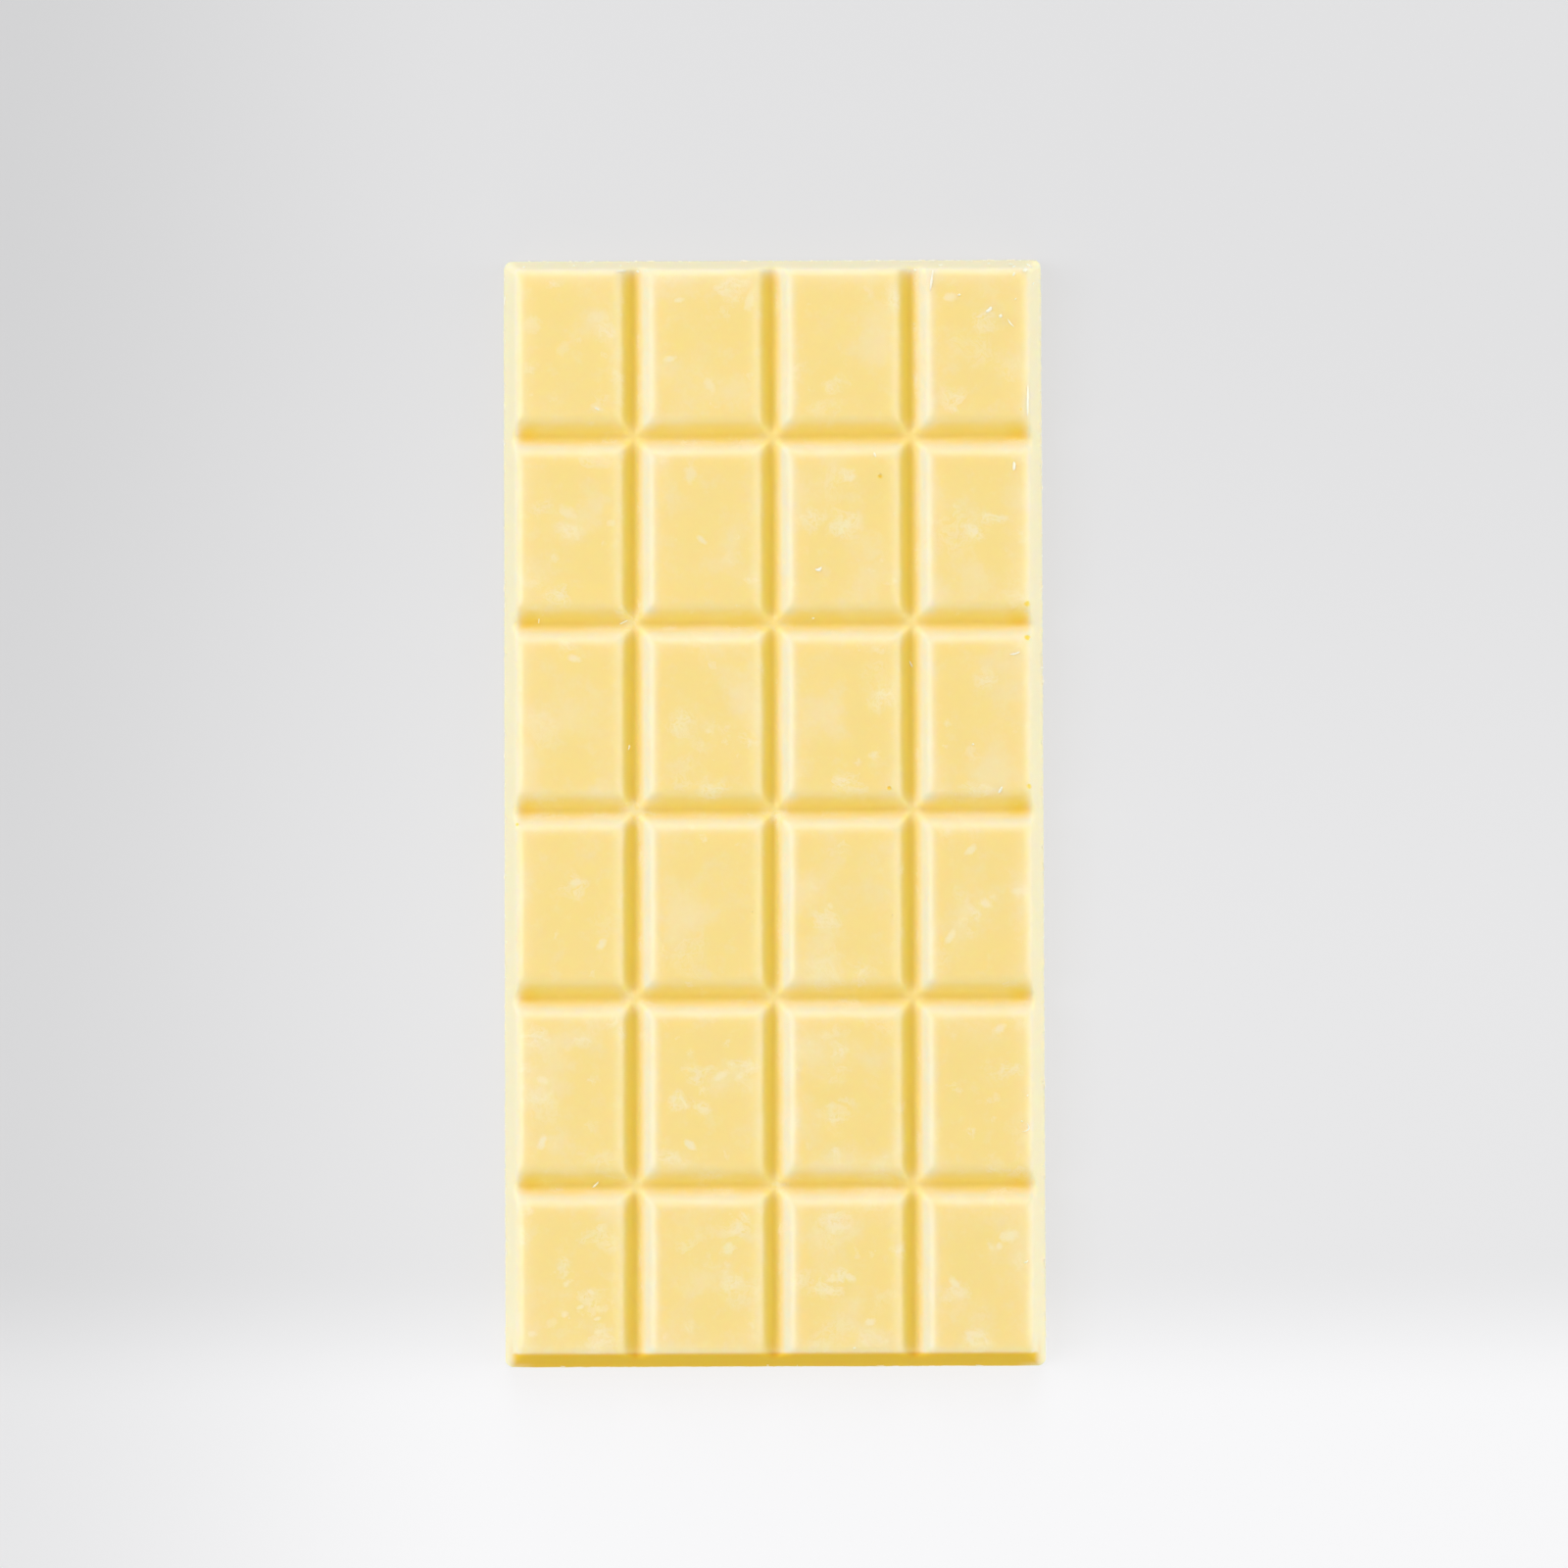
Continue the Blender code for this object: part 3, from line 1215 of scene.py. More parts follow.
    def rounded_corner(self, x: float, y: float, half: tuple[float, float]) -> tuple[float, float]:
        """Pulls a grid point of a square corner onto the rounded plan corner.

        Args:
            x: The point's place across the bar.
            y: The point's place along the bar.
            half: Half the width and length of the grid.

        Returns:
            The point's new place.
        """
        radius = self.plan_radius
        u = (abs(x) - (half[0] - radius)) / radius
        v = (abs(y) - (half[1] - radius)) / radius
        if u <= 0 or v <= 0:
            return x, y
        new_u = u * math.sqrt(1 - v * v / 2)
        new_v = v * math.sqrt(1 - u * u / 2)
        return (
            math.copysign(half[0] - radius + new_u * radius, x),
            math.copysign(half[1] - radius + new_v * radius, y),
        )

    def blank(self) -> bpy.types.Mesh:
        """The slab before its grooves, as a closed mesh with a fine moulded face.

        Returns:
            The mesh.
        """
        section = self.section()
        start = section[0][0]
        half = (self.front_half[0] + start, self.front_half[1] + start)
        grooves = self.grooves
        xs = self.grid_lines(half[0], grooves.places(grooves.columns, grooves.column_pitch))
        ys = self.grid_lines(half[1], grooves.places(grooves.rows, grooves.row_pitch))
        shell = bmesh.new()
        face = [
            [shell.verts.new((*self.rounded_corner(x, y, half), self.thickness)) for x in xs]
            for y in ys
        ]
        for below, above in zip(face, face[1:]):
            for index in range(len(xs) - 1):
                shell.faces.new((below[index], below[index + 1], above[index + 1], above[index]))
        loop = grid_outline(face)
        flags = self.outward_flags(xs, ys, half)
        ring = loop
        for out, height in section[1:]:
            grown = out - start
            lower = [
                shell.verts.new((v.co.x + grown * fx, v.co.y + grown * fy, height))
                for v, (fx, fy) in zip(loop, flags)
            ]
            for index, vertex in enumerate(ring):
                after = (index + 1) % len(ring)
                shell.faces.new((ring[after], vertex, lower[index], lower[after]))
            ring = lower
        self.close_back(shell, ring)
        bmesh.ops.recalc_face_normals(shell, faces=shell.faces)
        return plain_mesh(BAR_NODE, shell)

    def outward_flags(
        self, xs: Sequence[float], ys: Sequence[float], half: tuple[float, float]
    ) -> list[tuple[float, float]]:
        """Which way each point of the face's outline moves as the walls lean out.

        Args:
            xs: The grid lines across the bar.
            ys: The grid lines along the bar.
            half: Half the width and length of the grid.

        Returns:
            For each outline point, counter-clockwise from the near left corner, -1, 0 or 1 along
            X and along Y.
        """
        slack = 1e-9
        limit = (half[0] - self.plan_radius + slack, half[1] - self.plan_radius + slack)
        return [
            (
                math.copysign(1.0, x) if abs(x) > limit[0] else 0.0,
                math.copysign(1.0, y) if abs(y) > limit[1] else 0.0,
            )
            for x, y in grid_outline([[(x, y) for x in xs] for y in ys])
        ]

    def close_back(self, shell: bmesh.types.BMesh, ring: list[bmesh.types.BMVert]) -> None:
        """Closes the poured back with a coarse grid, joined to the last ring by triangles.

        Args:
            shell: The slab so far.
            ring: The ring of points around the back.
        """
        reach_x = max(v.co.x for v in ring) - self.back_step
        reach_y = max(v.co.y for v in ring) - self.back_step
        count_x = round(2 * reach_x / self.back_step)
        count_y = round(2 * reach_y / self.back_step)
        grid = [
            [
                shell.verts.new(
                    (reach_x * (2 * i / count_x - 1), reach_y * (2 * j / count_y - 1), 0.0)
                )
                for i in range(count_x + 1)
            ]
            for j in range(count_y + 1)
        ]
        for near, far in zip(grid, grid[1:]):
            for i in range(count_x):
                shell.faces.new((near[i], far[i], far[i + 1], near[i + 1]))
        borders = []
        for loop in (ring, grid_outline(grid)):
            for index, vertex in enumerate(loop):
                after = loop[(index + 1) % len(loop)]
                borders.append(shell.edges.get((vertex, after)) or shell.edges.new((vertex, after)))
        bmesh.ops.triangle_fill(shell, use_beauty=True, use_dissolve=False, edges=borders)

    def groove_tree(self) -> bpy.types.NodeTree:
        """The geometry tree that presses the grooves into the slab and makes its skin uneven.

        Returns:
            The tree.
        """
        tree = bpy.data.node_groups.new("break_grooves", "GeometryNodeTree")
        tree.is_modifier = True
        build = TreeBuilder(tree)
        build.sockets("Geometry", "Geometry")
        build.sockets("Float", *self.measures)
        build.sockets("Material", "Material")
        build.sockets("Geometry", "Geometry", output=True)
        given = build.node("NodeGroupInput").outputs
        position = build.node("GeometryNodeInputPosition").outputs[0]
        x, y, z = build.split(position)
        half_floor = build.math("MULTIPLY", given["Floor"], 0.5)
        half_mouth = build.math("MULTIPLY", given["Mouth"], 0.5)
        slope = build.math("DIVIDE", given["Depth"], build.math("SUBTRACT", half_mouth, half_floor))
        rises = []
        for place, pitch, reach in (
            (x, given["Column Pitch"], given["Column Reach"]),
            (y, given["Row Pitch"], given["Row Reach"]),
        ):
            away = build.math("ABSOLUTE", self.off_groove(build, place, pitch, reach, 1.0))
            rises.append(build.math("MULTIPLY", build.math("SUBTRACT", away, half_floor), slope))
        corner = build.math("SMOOTH_MIN", rises[0], rises[1], given["Corner Blend"])
        floored = build.math("SMOOTH_MAX", corner, 0.0, given["Floor Blend"])
        floor_level = build.math("SUBTRACT", given["Thickness"], given["Depth"])
        surface = build.math("ADD", floor_level, floored)
        pressed = build.math("SMOOTH_MIN", z, surface, given["Shoulder Blend"])
        marked = self.store_masks(build, given, (x, y, z))
        moved = build.node("GeometryNodeSetPosition")
        build.feed(moved.inputs["Geometry"], marked)
        build.feed(moved.inputs["Position"], build.join(x, y, pressed))
        waved = self.waves.add(build, given, moved.outputs[0])
        build.finish_geometry(waved, given["Material"])
        return tree

    @staticmethod
    def off_groove(
        build: TreeBuilder, place: Socket, pitch: Socket, reach: Socket, lit_way: float
    ) -> Socket:
        """How far a point is off the middle of the nearest groove, on one side or the other.

        Args:
            build: The tree's builder.
            place: The point's place across the grooves.
            pitch: The distance from groove to groove, with one groove at zero.
            reach: The outermost groove, counted from the middle one.
            lit_way: 1 or -1, so that the groove's paler side comes out above zero.

        Returns:
            The distance in metres, with its sign.
        """
        number = build.math("ROUND", build.math("DIVIDE", place, pitch))
        number = build.math("MINIMUM", number, reach)
        number = build.math("MAXIMUM", number, build.math("MULTIPLY", reach, -1.0))
        offset = build.math("SUBTRACT", place, build.math("MULTIPLY", number, pitch))
        return build.math("MULTIPLY", offset, lit_way)

    def groove_tints(
        self, build: TreeBuilder, across: Sequence[Socket], away: Sequence[Socket]
    ) -> tuple[list[Socket], list[Socket], list[Socket]]:
        """The painted highlights on the two shoulders of a groove, and the painted shade in its middle,
        for both sets.

        Args:
            build: The tree's builder.
            across: How far each point is off the nearest groove of each set, with its sign.
            away: The same without signs.

        Returns:
            The painted highlights of the lit shoulders, those of the dim shoulders, and the painted
            shade of the middles.
        """
        borders = self.borders
        lit_glows, dim_glows, deeps = [], [], []
        for offset, other, shade in zip(across, reversed(away), self.shades):
            off_crossing = build.ramp(other, *borders.crossing_glow)
            least = borders.crossing_share * shade.depth
            deeps.append(
                build.chain(
                    "MULTIPLY",
                    build.ramp(offset, *shade.deep_start),
                    build.ramp(offset, *shade.deep_end),
                    build.ramp(other, *borders.crossing_deep, least, shade.depth),
                )
            )
            for glows, start, end, glow in (
                (lit_glows, shade.lit_start, (shade.lit_reach, shade.lit_peak), shade.lit_glow),
                (dim_glows, shade.dim_start, (shade.dim_reach, shade.dim_start[1]), shade.dim_glow),
            ):
                band = (build.ramp(offset, *start), build.ramp(offset, *end, 0.0, glow))
                glows.append(build.chain("MULTIPLY", *band, off_crossing))
        return lit_glows, dim_glows, deeps

    def store_masks(
        self, build: TreeBuilder, given: Any, place: tuple[Socket, Socket, Socket]
    ) -> Socket:
        """Stores where highlights, shade and glow are painted, and which points are on a wall.

        The masks are read off the slab before it is pressed, because pressing moves its points.

        Args:
            build: The tree's builder.
            given: The tree's inputs.
            place: Each point's x, y and z before pressing.

        Returns:
            The geometry with its attributes.
        """
        x, y, z = place
        borders = self.borders
        columns = (x, given["Column Pitch"], given["Column Reach"], 1.0)
        rows = (y, given["Row Pitch"], given["Row Reach"], -1.0)
        across = [self.off_groove(build, *grid) for grid in (columns, rows)]
        away = [build.math("ABSOLUTE", offset) for offset in across]
        lit_glows, rim_glows, deeps = self.groove_tints(build, across, away)
        fade_length = build.ramp(build.math("MINIMUM", *away), *borders.rim_fade)
        inward = {}
        # A painted highlight along each rim, fading inwards from it
        for side, strength in self.painted_rim_highlight.items():
            along_x, along_y = side.value
            out = build.math(
                "ADD", build.math("MULTIPLY", x, along_x), build.math("MULTIPLY", y, along_y)
            )
            half = given["Face Half Width" if along_x else "Face Half Length"]
            inward[side] = build.math("SUBTRACT", half, out)
            depth = build.math("MAXIMUM", inward[side], 0.0)
            fade = build.math("POWER", math.e, build.math("DIVIDE", depth, fade_length))
            rim_glows.append(build.math("MULTIPLY", fade, strength))
        from_side = build.math("MINIMUM", inward[Side.LEFT], inward[Side.RIGHT])
        from_end = build.math("MINIMUM", inward[Side.FAR], inward[Side.NEAR])
        from_rim = build.math("MINIMUM", from_side, from_end)
        above_back = build.ramp(z, *borders.back)
        front = build.ramp(z, *borders.front)
        in_face = build.ramp(from_rim, *borders.rim_deep)
        # Painted shade deep in the grooves, kept off the rim and the back
        sunk = build.chain("MULTIPLY", build.math("MAXIMUM", *deeps), in_face, front)
        on_wall = build.math("MULTIPLY", build.ramp(from_rim, *borders.wall), above_back)
        # Painted shade on the near wall, which faces away from most lamps
        near_reach = build.math("SUBTRACT", build.math("MULTIPLY", y, -1.0), given["Face Half Length"])
        corner = build.math("SUBTRACT", build.math("ABSOLUTE", x), given["Face Half Width"])
        near_wall = build.chain(
            "MULTIPLY",
            build.ramp(near_reach, *borders.near_wall),
            above_back,
            build.ramp(corner, *borders.near_corner),
            build.ramp(z, *borders.near_foot),
        )
        masks = {
            "painted_edge_highlight": build.math("MULTIPLY", build.math("MAXIMUM", *lit_glows), front),
            "painted_rim_highlight": build.math("MULTIPLY", build.chain("MAXIMUM", *rim_glows), front),
            "sunk": sunk,
            # A painted glow at the ends of the grooves by the long sides
            "painted_end_glow": build.math("MULTIPLY", sunk, build.ramp(from_side, *borders.painted_end_glow)),
            # Painted light on the outer walls but the near one
            "outer_wall": build.math("MAXIMUM", build.math("SUBTRACT", on_wall, near_wall), 0.0),
            "near_wall": near_wall,
        }
        geometry = given["Geometry"]
        for name, mask in masks.items():
            stored = build.node("GeometryNodeStoreNamedAttribute", data_type="FLOAT", domain="POINT")
            build.feed(stored.inputs["Geometry"], geometry)
            stored.inputs["Name"].default_value = name
            build.feed(stored.inputs["Value"], mask)
            geometry = stored.outputs[0]
        return geometry

    def cut_bubbles(self, bar: bpy.types.Object) -> None:
        """Cuts the broken air bubbles out of the skin.

        Args:
            bar: The grooved bar.
        """
        hollows = bmesh.new()
        for bubble in self.bubbles:
            height = self.thickness + bubble.radius * self.bubble_lift
            placed = Matrix.Translation((bubble.x, bubble.y, height))
            stretched = Matrix.Diagonal((1.0, bubble.stretch, 1.0, 1.0))
            bmesh.ops.create_icosphere(
                hollows,
                subdivisions=self.bubble_detail,
                radius=bubble.radius,
                matrix=placed @ stretched,
            )
        cutter = link_mesh("air_bubbles", plain_mesh("air_bubbles", hollows))
        cut = bar.modifiers.new("air_bubbles", "BOOLEAN")
        cut.operation = "DIFFERENCE"
        cut.solver = "EXACT"
        cut.object = cutter
        applied(bar)
        bpy.data.objects.remove(cutter)

    def build(self, finishes: Finishes) -> bpy.types.Object:
        """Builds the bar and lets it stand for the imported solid.

        Args:
            finishes: The shared materials.

        Returns:
            The bar.
        """
        bar = link_mesh("moulded_bar", self.blank())
        run_tree(bar, self.groove_tree(), {**self.measures, "Material": finishes.chocolate})
        self.cut_bubbles(bar)
        bar.data.materials.clear()
        bar.data.materials.append(finishes.chocolate)
        bar.data.shade_smooth()
        bar.data.set_sharp_from_angle(angle=self.smooth_angle)
        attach(bar, BODY)
        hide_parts(BAR_NODE)
        return bar


# ---------------------------------------------------------------------------------------------
# What clings to the bar
# ---------------------------------------------------------------------------------------------


@dataclass(frozen=True)
class Shaving:
    """One sliver or chip of chocolate, in millimetres, and the way that it lies and bends."""

    x: float
    y: float
    length: float
    width: float
    degrees: float = 0.0
    bend: float = 0.0
    curl: float = 0.0


@dataclass
class ClingingShavings:
    """The slivers and chips that lie on the moulded face, all in one mesh."""

    thickness: float = 0.14 * MM
    sunk: float = 0.03 * MM
    stations: int = 9
    around: int = 6
    low_rest: float = 0.6 * MM
    ray_start: float = 0.05
    bend_centre: float = 0.33
    tip_power: float = 2.2
    tip_fullness: float = 0.6
    raggedness: float = 0.45
    ragged_stride: float = 2.3
    thinnest: float = 0.35
    pieces: Sequence[Shaving] = (
        Shaving(30.4, 70.1, 1.1, 0.50, 42, 0.1),
        Shaving(32.0, 69.2, 0.6, 0.45, 65),
        Shaving(33.4, 68.2, 1.5, 0.22, -52, 0.15, 0.1),
        Shaving(33.8, 48.1, 1.3, 0.42, 88, 0.1),
        Shaving(14.3, 49.8, 0.8, 0.24, -70, 0.1),
        Shaving(6.4, 33.7, 1.0, 0.50, 20, 0.5, 0.1),
        Shaving(5.6, 27.0, 0.4, 0.34),
        Shaving(33.8, 21.8, 1.6, 0.26, 14, 0.15, 0.05),
        Shaving(31.7, 2.7, 1.1, 0.34, 60, 0.1),
        Shaving(19.3, 20.5, 1.0, 0.18, -65),
        Shaving(27.9, 9.1, 0.36, 0.30, 20),
        Shaving(-20.3, 8.9, 0.8, 0.26, 78, 0.1),
        Shaving(-21.0, 26.5, 1.3, 0.20, 25),
        Shaving(-32.9, 26.7, 0.7, 0.16, 82),
        Shaving(35.2, -44.6, 1.5, 0.20, 60, 0.9, 0.2),
        Shaving(34.5, -43.6, 0.3, 0.22),
        Shaving(35.3, -40.0, 0.34, 0.2, 40),
        Shaving(35.0, -63.2, 0.8, 0.20, 30, 0.2),
        Shaving(-25.1, -52.3, 1.3, 0.24, 45, 0.1),
        Shaving(11.0, -75.1, 0.5, 0.22, 10),
        Shaving(23.7, 76.7, 0.7, 0.24, 0),
        Shaving(30.5, 77.0, 0.6, 0.26, 20),
        Shaving(33.6, 76.9, 0.7, 0.28, -10),
        Shaving(34.0, 76.3, 0.6, 0.34, 30),
        Shaving(36.2, 76.6, 1.3, 0.30, -32, 0.2),
        Shaving(35.5, 75.7, 0.8, 0.60, 20),
        Shaving(36.7, 74.1, 0.6, 0.18, 60),
        Shaving(33.9, 75.1, 0.6, 0.30, 60),
        Shaving(34.1, 71.6, 0.45, 0.18, 40),
        Shaving(26.2, 72.2, 0.5, 0.30, 20),
        Shaving(37.9, 18.6, 1.6, 0.24, 93),
        Shaving(37.9, 20.2, 0.3, 0.25),
        Shaving(-24.6, 56.3, 0.7, 0.2, -25),
        Shaving(22.35, 74.3, 3.3, 0.34, 82),
        Shaving(35.75, 57.3, 4.6, 0.42, 89),
        Shaving(-21.2, 75.8, 1.5, 0.25, 8),
        Shaving(-18.9, 75.9, 0.5, 0.35, -40),
        Shaving(20.1, 76.0, 0.5, 0.35, -40),
        Shaving(-27.9, 76.8, 0.35, 0.30),
        Shaving(-21.3, 76.8, 0.35, 0.28, 30),
        Shaving(-34.9, 76.5, 0.4, 0.30, 15),
    )

    def ground(self, bar: BVHTree, x: float, y: float) -> float:
        """How high the bar's surface is at a place.

        Args:
            bar: The bar's surface.
            x: The place along the width.
            y: The place along the length.

        Returns:
            The height, or the low resting height outside the bar.
        """
        hit, *_ = bar.ray_cast(Vector((x, y, self.ray_start)), Vector((0.0, 0.0, -1.0)))
        return hit.z if hit and hit.z > self.low_rest else self.low_rest

    def add(self, mesh: bmesh.types.BMesh, piece: Shaving, bar: BVHTree) -> None:
        """Adds one sliver: a flat tube that is widest at its middle and follows the surface.

        Args:
            mesh: What it is added to.
            piece: The sliver.
            bar: The bar's surface.
        """
        turn = math.radians(piece.degrees)
        along = Vector((math.cos(turn), math.sin(turn), 0.0))
        side = Vector((-along.y, along.x, 0.0))
        rings = []
        tips = []
        for index in range(self.stations):
            share = 2.0 * index / (self.stations - 1) - 1.0
            forward = share * piece.length / 2 * MM
            sideways = piece.bend * (share**2 - self.bend_centre) * piece.length / 2 * MM
            middle = Vector((piece.x * MM, piece.y * MM, 0.0)) + along * forward + side * sideways
            ragged = noise.noise(Vector((piece.x, piece.y, share * self.ragged_stride)))
            full = max(0.0, 1.0 - abs(share) ** self.tip_power) ** self.tip_fullness
            full *= 1.0 + self.raggedness * ragged
            half_width = piece.width / 2 * MM * full
            half_depth = self.thickness / 2 * (self.thinnest + (1.0 - self.thinnest) * full)
            lift = piece.curl * piece.length * MM * max(0.0, share) ** 2
            middle.z = self.ground(bar, middle.x, middle.y) + half_depth - self.sunk + lift
            if abs(share) == 1.0:
                tips.append(mesh.verts.new(middle))
                continue
            ring = []
            for step in range(self.around):
                angle = math.tau * step / self.around
                offset = side * (half_width * math.cos(angle))
                offset.z = half_depth * math.sin(angle)
                ring.append(mesh.verts.new(middle + offset))
            rings.append(ring)
        for near, far in zip(rings, rings[1:]):
            for step in range(self.around):
                after = (step + 1) % self.around
                mesh.faces.new((near[step], near[after], far[after], far[step]))
        for tip, ring in ((tips[0], rings[0]), (tips[1], rings[-1])):
            for step in range(self.around):
                mesh.faces.new((tip, ring[step], ring[(step + 1) % self.around]))

    def build(self, bar: bpy.types.Object, finishes: Finishes) -> bpy.types.Object:
        """Builds the slivers on the bar.

        Args:
            bar: The bar.
            finishes: The shared materials.

        Returns:
            The slivers.
        """
        surface = BVHTree.FromObject(bar, bpy.context.evaluated_depsgraph_get())
        strips = bmesh.new()
        for piece in self.pieces:
            self.add(strips, piece, surface)
        bmesh.ops.recalc_face_normals(strips, faces=strips.faces)
        mesh = plain_mesh("clinging_shavings", strips)
        mesh.materials.append(finishes.shaving)
        mesh.shade_smooth()
        made = link_mesh("clinging_shavings", mesh)
        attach(made, BODY)
        return made


@dataclass
class EdgeCrumbs:
    """The fine crumbs that cling along the foot of the walls, densest at the far right.

    The lean is how far the wall comes in for its height, and the foot the heights between which
    the crumbs lie.
    """

    low: Vector
    high: Vector
    lean: float = 2.1 / 8.0
    foot: tuple[float, float] = (0.20 * MM, 1.4 * MM)
    proud: float = 0.02 * MM
    corner: float = 1.4 * MM
    point_step: float = 4.0 * MM
    most_per_area: float = 1.6e6
    shortest: float = 0.12 * MM
    longest: float = 2.0 * MM
    long_rarity: float = 3.0
    thinnest: float = 0.7
    thickest: float = 1.5
    tilt: float = 0.25
    cross_tilt: float = 0.4
    angular: float = 0.5
    angular_scale: float = 3.1
    angular_offset: tuple[float, float, float] = (4.0, 1.0, 2.0)
    end_band: float = 2.0 * MM
    far_left_share: float = 0.35
    near_share: float = 0.06
    side_share: float = 0.16
    seed: int = 7

    def strip(self) -> bpy.types.Mesh:
        """The low strip of the walls that the crumbs lie on, with how many lie where.

        Returns:
            The strip's mesh.
        """
        half_x = (self.high.x - self.low.x) / 2
        half_y = (self.high.y - self.low.y) / 2
        mesh = bmesh.new()
        share_layer = mesh.verts.layers.float.new("crumb_share")
        rows = []
        for height in self.foot:
            row = []
            for side_x, side_y in ((-1, 1), (1, 1), (1, -1), (-1, -1)):
                reach_x = half_x - height * self.lean + self.proud
                reach_y = half_y - height * self.lean + self.proud
                ends = [
                    Vector((side_x * reach_x, side_y * (reach_y - self.corner), height)),
                    Vector((side_x * (reach_x - self.corner), side_y * reach_y, height)),
                ]
                row += ends if side_x * side_y < 0 else ends[::-1]
            row = self.refined(row)
            rows.append([mesh.verts.new(point) for point in row])
        for row in rows:
            for vertex in row:
                vertex[share_layer] = self.share(vertex.co, half_x, half_y)
        lower, upper = rows
        for index in range(len(lower)):
            after = (index + 1) % len(lower)
            mesh.faces.new((lower[index], upper[index], upper[after], lower[after]))
        bmesh.ops.recalc_face_normals(mesh, faces=mesh.faces)
        return plain_mesh("crumb_strip", mesh)

    def refined(self, corners: list[Vector]) -> list[Vector]:
        """The closed outline with a point every few millimetres.

        Args:
            corners: Its corner points in order.

        Returns:
            All its points.
        """
        points = []
        for index, start in enumerate(corners):
            end = corners[(index + 1) % len(corners)]
            count = max(1, round((end - start).length / self.point_step))
            points += [start.lerp(end, step / count) for step in range(count)]
        return points

    def share(self, place: Vector, half_x: float, half_y: float) -> float:
        """How many of the crumbs lie at a place, from none to all.

        Args:
            place: The place.
            half_x: Half the bar's width.
            half_y: Half its length.

        Returns:
            The share.
        """
        right = (place.x + half_x) / (2 * half_x)
        if place.y > half_y - self.end_band:
            return self.far_left_share + (1.0 - self.far_left_share) * right**2
        if place.y < self.end_band - half_y:
            return self.near_share
        far = (place.y + half_y) / (2 * half_y)
        return self.side_share * (1.0 + right + far)

    def crumb(self) -> bpy.types.Object:
        """One crumb of unit size, made angular.

        Returns:
            The crumb.
        """
        ball = bmesh.new()
        bmesh.ops.create_icosphere(ball, subdivisions=1, radius=0.5)
        for vertex in ball.verts:
            dent = noise.noise(vertex.co * self.angular_scale + Vector(self.angular_offset))
            vertex.co *= 1.0 + self.angular * dent
        return link_mesh("crumb", plain_mesh("crumb", ball))

    def tree(self) -> bpy.types.NodeTree:
        """The geometry tree that scatters the crumbs over the strip.

        Returns:
            The tree.
        """
        tree = bpy.data.node_groups.new("edge_crumbs", "GeometryNodeTree")
        tree.is_modifier = True
        build = TreeBuilder(tree)
        build.sockets("Geometry", "Geometry")
        build.sockets("Object", "Crumb")
        build.sockets("Float", "Density", "Shortest", "Longest")
        build.sockets("Int", "Seed")
        build.sockets("Material", "Material")
        build.sockets("Geometry", "Geometry", output=True)
        given = build.node("NodeGroupInput").outputs
        share = build.node("GeometryNodeInputNamedAttribute", data_type="FLOAT")
        share.inputs["Name"].default_value = "crumb_share"
        spread = build.node("GeometryNodeDistributePointsOnFaces", distribute_method="RANDOM")
        build.feed(spread.inputs["Mesh"], given["Geometry"])
        density = build.math("MULTIPLY", share.outputs["Attribute"], given["Density"])
        build.feed(spread.inputs["Density"], density)
        build.feed(spread.inputs["Seed"], given["Seed"])
        along = build.vector("CROSS_PRODUCT", spread.outputs["Normal"], (0.0, 0.0, 1.0))
        aligned = build.node("FunctionNodeAlignRotationToVector", axis="X", pivot_axis="AUTO")
        build.feed(aligned.inputs["Vector"], along)
        draws = []
        for number in (1, 2, 3):
            draw = build.node("FunctionNodeRandomValue", data_type="FLOAT")
            build.feed(draw.inputs["Seed"], build.math("ADD", given["Seed"], number))
            draws.append(draw.outputs[1])
        long = build.math("POWER", draws[0], self.long_rarity)
        span = build.math("SUBTRACT", given["Longest"], given["Shortest"])
        length = build.math("ADD", given["Shortest"], build.math("MULTIPLY", long, span))
        thick = build.math("MULTIPLY_ADD", draws[1], self.thickest - self.thinnest, self.thinnest)
        thick = build.math("MULTIPLY", given["Shortest"], thick)
        placed = build.node("GeometryNodeInstanceOnPoints")
        build.feed(placed.inputs["Points"], spread.outputs["Points"])
        template = build.node("GeometryNodeObjectInfo", transform_space="ORIGINAL")
        build.feed(template.inputs["Object"], given["Crumb"])
        build.feed(placed.inputs["Instance"], template.outputs["Geometry"])
        build.feed(placed.inputs["Rotation"], aligned.outputs["Rotation"])
        build.feed(placed.inputs["Scale"], build.join(length, thick, thick))
        turned = build.node("GeometryNodeRotateInstances")
        build.feed(turned.inputs["Instances"], placed.outputs["Instances"])
        tilt = build.math("MULTIPLY_ADD", draws[2], 2 * self.tilt, -self.tilt)
        cross_tilt = build.math("MULTIPLY", tilt, self.cross_tilt)
        build.feed(turned.inputs["Rotation"], build.join(tilt, cross_tilt, tilt))
        build.finish_geometry(turned.outputs[0], given["Material"])
        return tree

    def build(self, finishes: Finishes) -> bpy.types.Object:
        """Scatters the crumbs.

        Args:
            finishes: The shared materials.

        Returns:
            The crumbs.
        """
        made = link_mesh("edge_crumbs", self.strip())
        crumb = self.crumb()
        values = {
            "Crumb": crumb,
            "Density": self.most_per_area,
            "Shortest": self.shortest,
            "Longest": self.longest,
            "Seed": self.seed,
            "Material": finishes.shaving,
        }
        run_tree(made, self.tree(), values)
        bpy.data.objects.remove(crumb)
        made.data.materials.clear()
        made.data.materials.append(finishes.shaving)
        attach(made, BODY)
        return made


# ---------------------------------------------------------------------------------------------
# The setting
# ---------------------------------------------------------------------------------------------


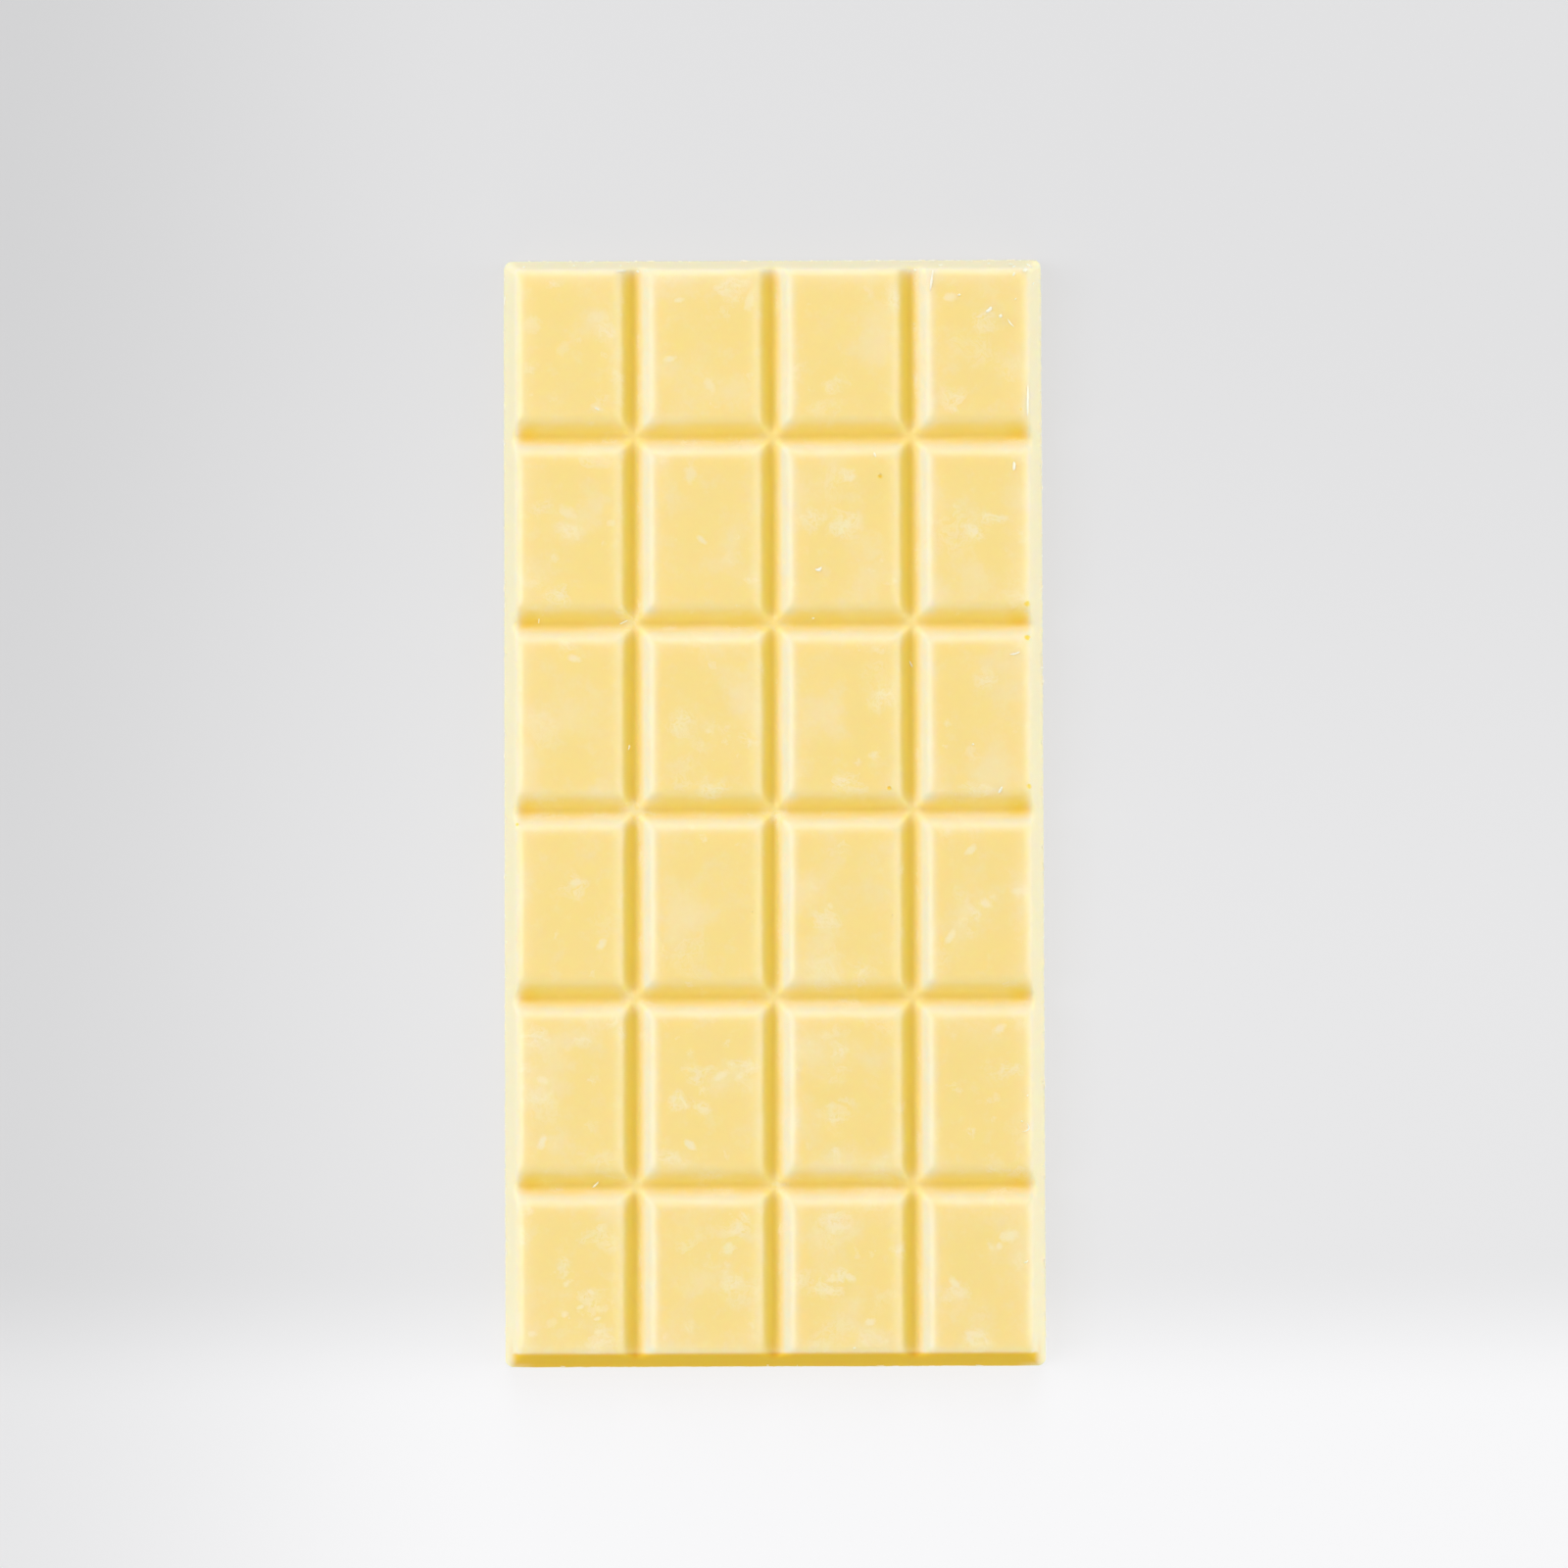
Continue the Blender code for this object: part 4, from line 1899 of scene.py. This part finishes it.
@dataclass
class Softbox:
    """A large square lamp that looks at the bar, in degrees, watts and metres."""

    name: str
    azimuth: float
    elevation: float
    power: float
    size: float = 1.1
    distance: float = 2.4

    def build(self, target: Vector) -> bpy.types.Object:
        """Places the lamp.

        Args:
            target: The point that it looks at.

        Returns:
            The lamp.
        """
        data = bpy.data.lights.new(self.name, "AREA")
        data.shape = "SQUARE"
        data.size = self.size
        data.energy = self.power
        lamp = bpy.data.objects.new(self.name, data)
        bpy.context.scene.collection.objects.link(lamp)
        around = math.radians(self.azimuth)
        up = math.radians(self.elevation)
        away = Vector((math.cos(around) * math.cos(up), math.sin(around) * math.cos(up), math.sin(up)))
        lamp.location = target + away * self.distance
        lamp.rotation_euler = away.to_track_quat("Z", "Y").to_euler()
        lamp.visible_camera = False
        return lamp


@dataclass
class Studio:
    """The table, the lamps and the camera that looks down on the bar."""

    target: Vector
    camera_distance: float = 1.0
    camera_tilt: float = 2.3
    camera_roll: float = 0.18
    lens: float = 163.5
    sensor_width: float = 36.0
    clipping: Step = (0.05, 50.0)
    aim: tuple[float, float] = (1.43 * MM, 3.78 * MM)
    table_half: float = 6.0
    table_cells: int = 24
    world_colour: Colour = (1.0, 1.0, 1.0, 1.0)
    world_strength: float = 0.234
    lamps: Sequence[Softbox] = (
        Softbox("left_low_softbox", 180, 33, 11.4),
        Softbox("left_middle_softbox", 180, 50, 17.2),
        Softbox("left_high_softbox", 180, 65, 5.7),
        Softbox("far_low_softbox", 90, 35, 10.6),
        Softbox("far_high_softbox", 90, 50, 6.3),
        Softbox("far_edge_softbox", 90, 12, 4.5, size=0.8),
        Softbox("right_low_softbox", 0, 8, 17.5, size=0.8),
        Softbox("right_middle_softbox", 0, 30, 6.1),
        Softbox("right_high_softbox", 0, 50, 6.1),
        Softbox("near_softbox", 270, 30, 6.5),
    )

    def build(self, finishes: Finishes) -> None:
        """Builds the whole setting.

        Args:
            finishes: The shared materials.
        """
        self.add_table(finishes)
        for lamp in self.lamps:
            lamp.build(self.target)
        self.add_world()
        self.add_camera()
        view = bpy.context.scene.view_settings
        view.view_transform = "Standard"
        view.look = "None"

    def add_table(self, finishes: Finishes) -> None:
        """Adds the table top.

        Args:
            finishes: The shared materials.
        """
        top = bmesh.new()
        cells = self.table_cells
        bmesh.ops.create_grid(top, x_segments=cells, y_segments=cells, size=self.table_half)
        mesh = plain_mesh("table_top", top)
        mesh.materials.append(finishes.table)
        link_mesh("table_top", mesh)

    def add_world(self) -> None:
        """Adds the even light of the room."""
        world = bpy.data.worlds.new("room_light")
        world.use_nodes = True
        background = world.node_tree.nodes["Background"]
        background.inputs["Color"].default_value = self.world_colour
        background.inputs["Strength"].default_value = self.world_strength
        bpy.context.scene.world = world

    def add_camera(self) -> None:
        """Adds the camera, looking down on the moulded face from slightly towards the near end."""
        data = bpy.data.cameras.new("camera")
        data.lens = self.lens
        data.sensor_width = self.sensor_width
        data.clip_start, data.clip_end = self.clipping
        camera = bpy.data.objects.new("camera", data)
        bpy.context.scene.collection.objects.link(camera)
        tilt = math.radians(self.camera_tilt)
        aim = self.target + Vector((self.aim[0], self.aim[1], 0.0))
        back = Vector((0.0, -math.sin(tilt), math.cos(tilt)))
        camera.location = aim + back * self.camera_distance
        camera.rotation_euler = Euler((tilt, 0.0, 0.0))
        camera.rotation_euler.rotate_axis("Z", -math.radians(self.camera_roll))
        bpy.context.scene.camera = camera


def main() -> None:
    """Builds the finishes, the bar and the setting, and reports each piece."""
    logging.basicConfig(level=logging.INFO, format="%(name)s: %(message)s")
    finishes = Finishes.build()
    low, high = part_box(BAR_NODE)
    bar = MouldedBar(low, high).build(finishes)
    shavings = ClingingShavings().build(bar, finishes)
    crumbs = EdgeCrumbs(low, high).build(finishes)
    for piece in (bar, shavings, crumbs):
        log.info("%s: %d faces", piece.name, len(piece.data.polygons))
    Studio(target=(low + high) / 2).build(finishes)


if __name__ == "__main__":
    main()
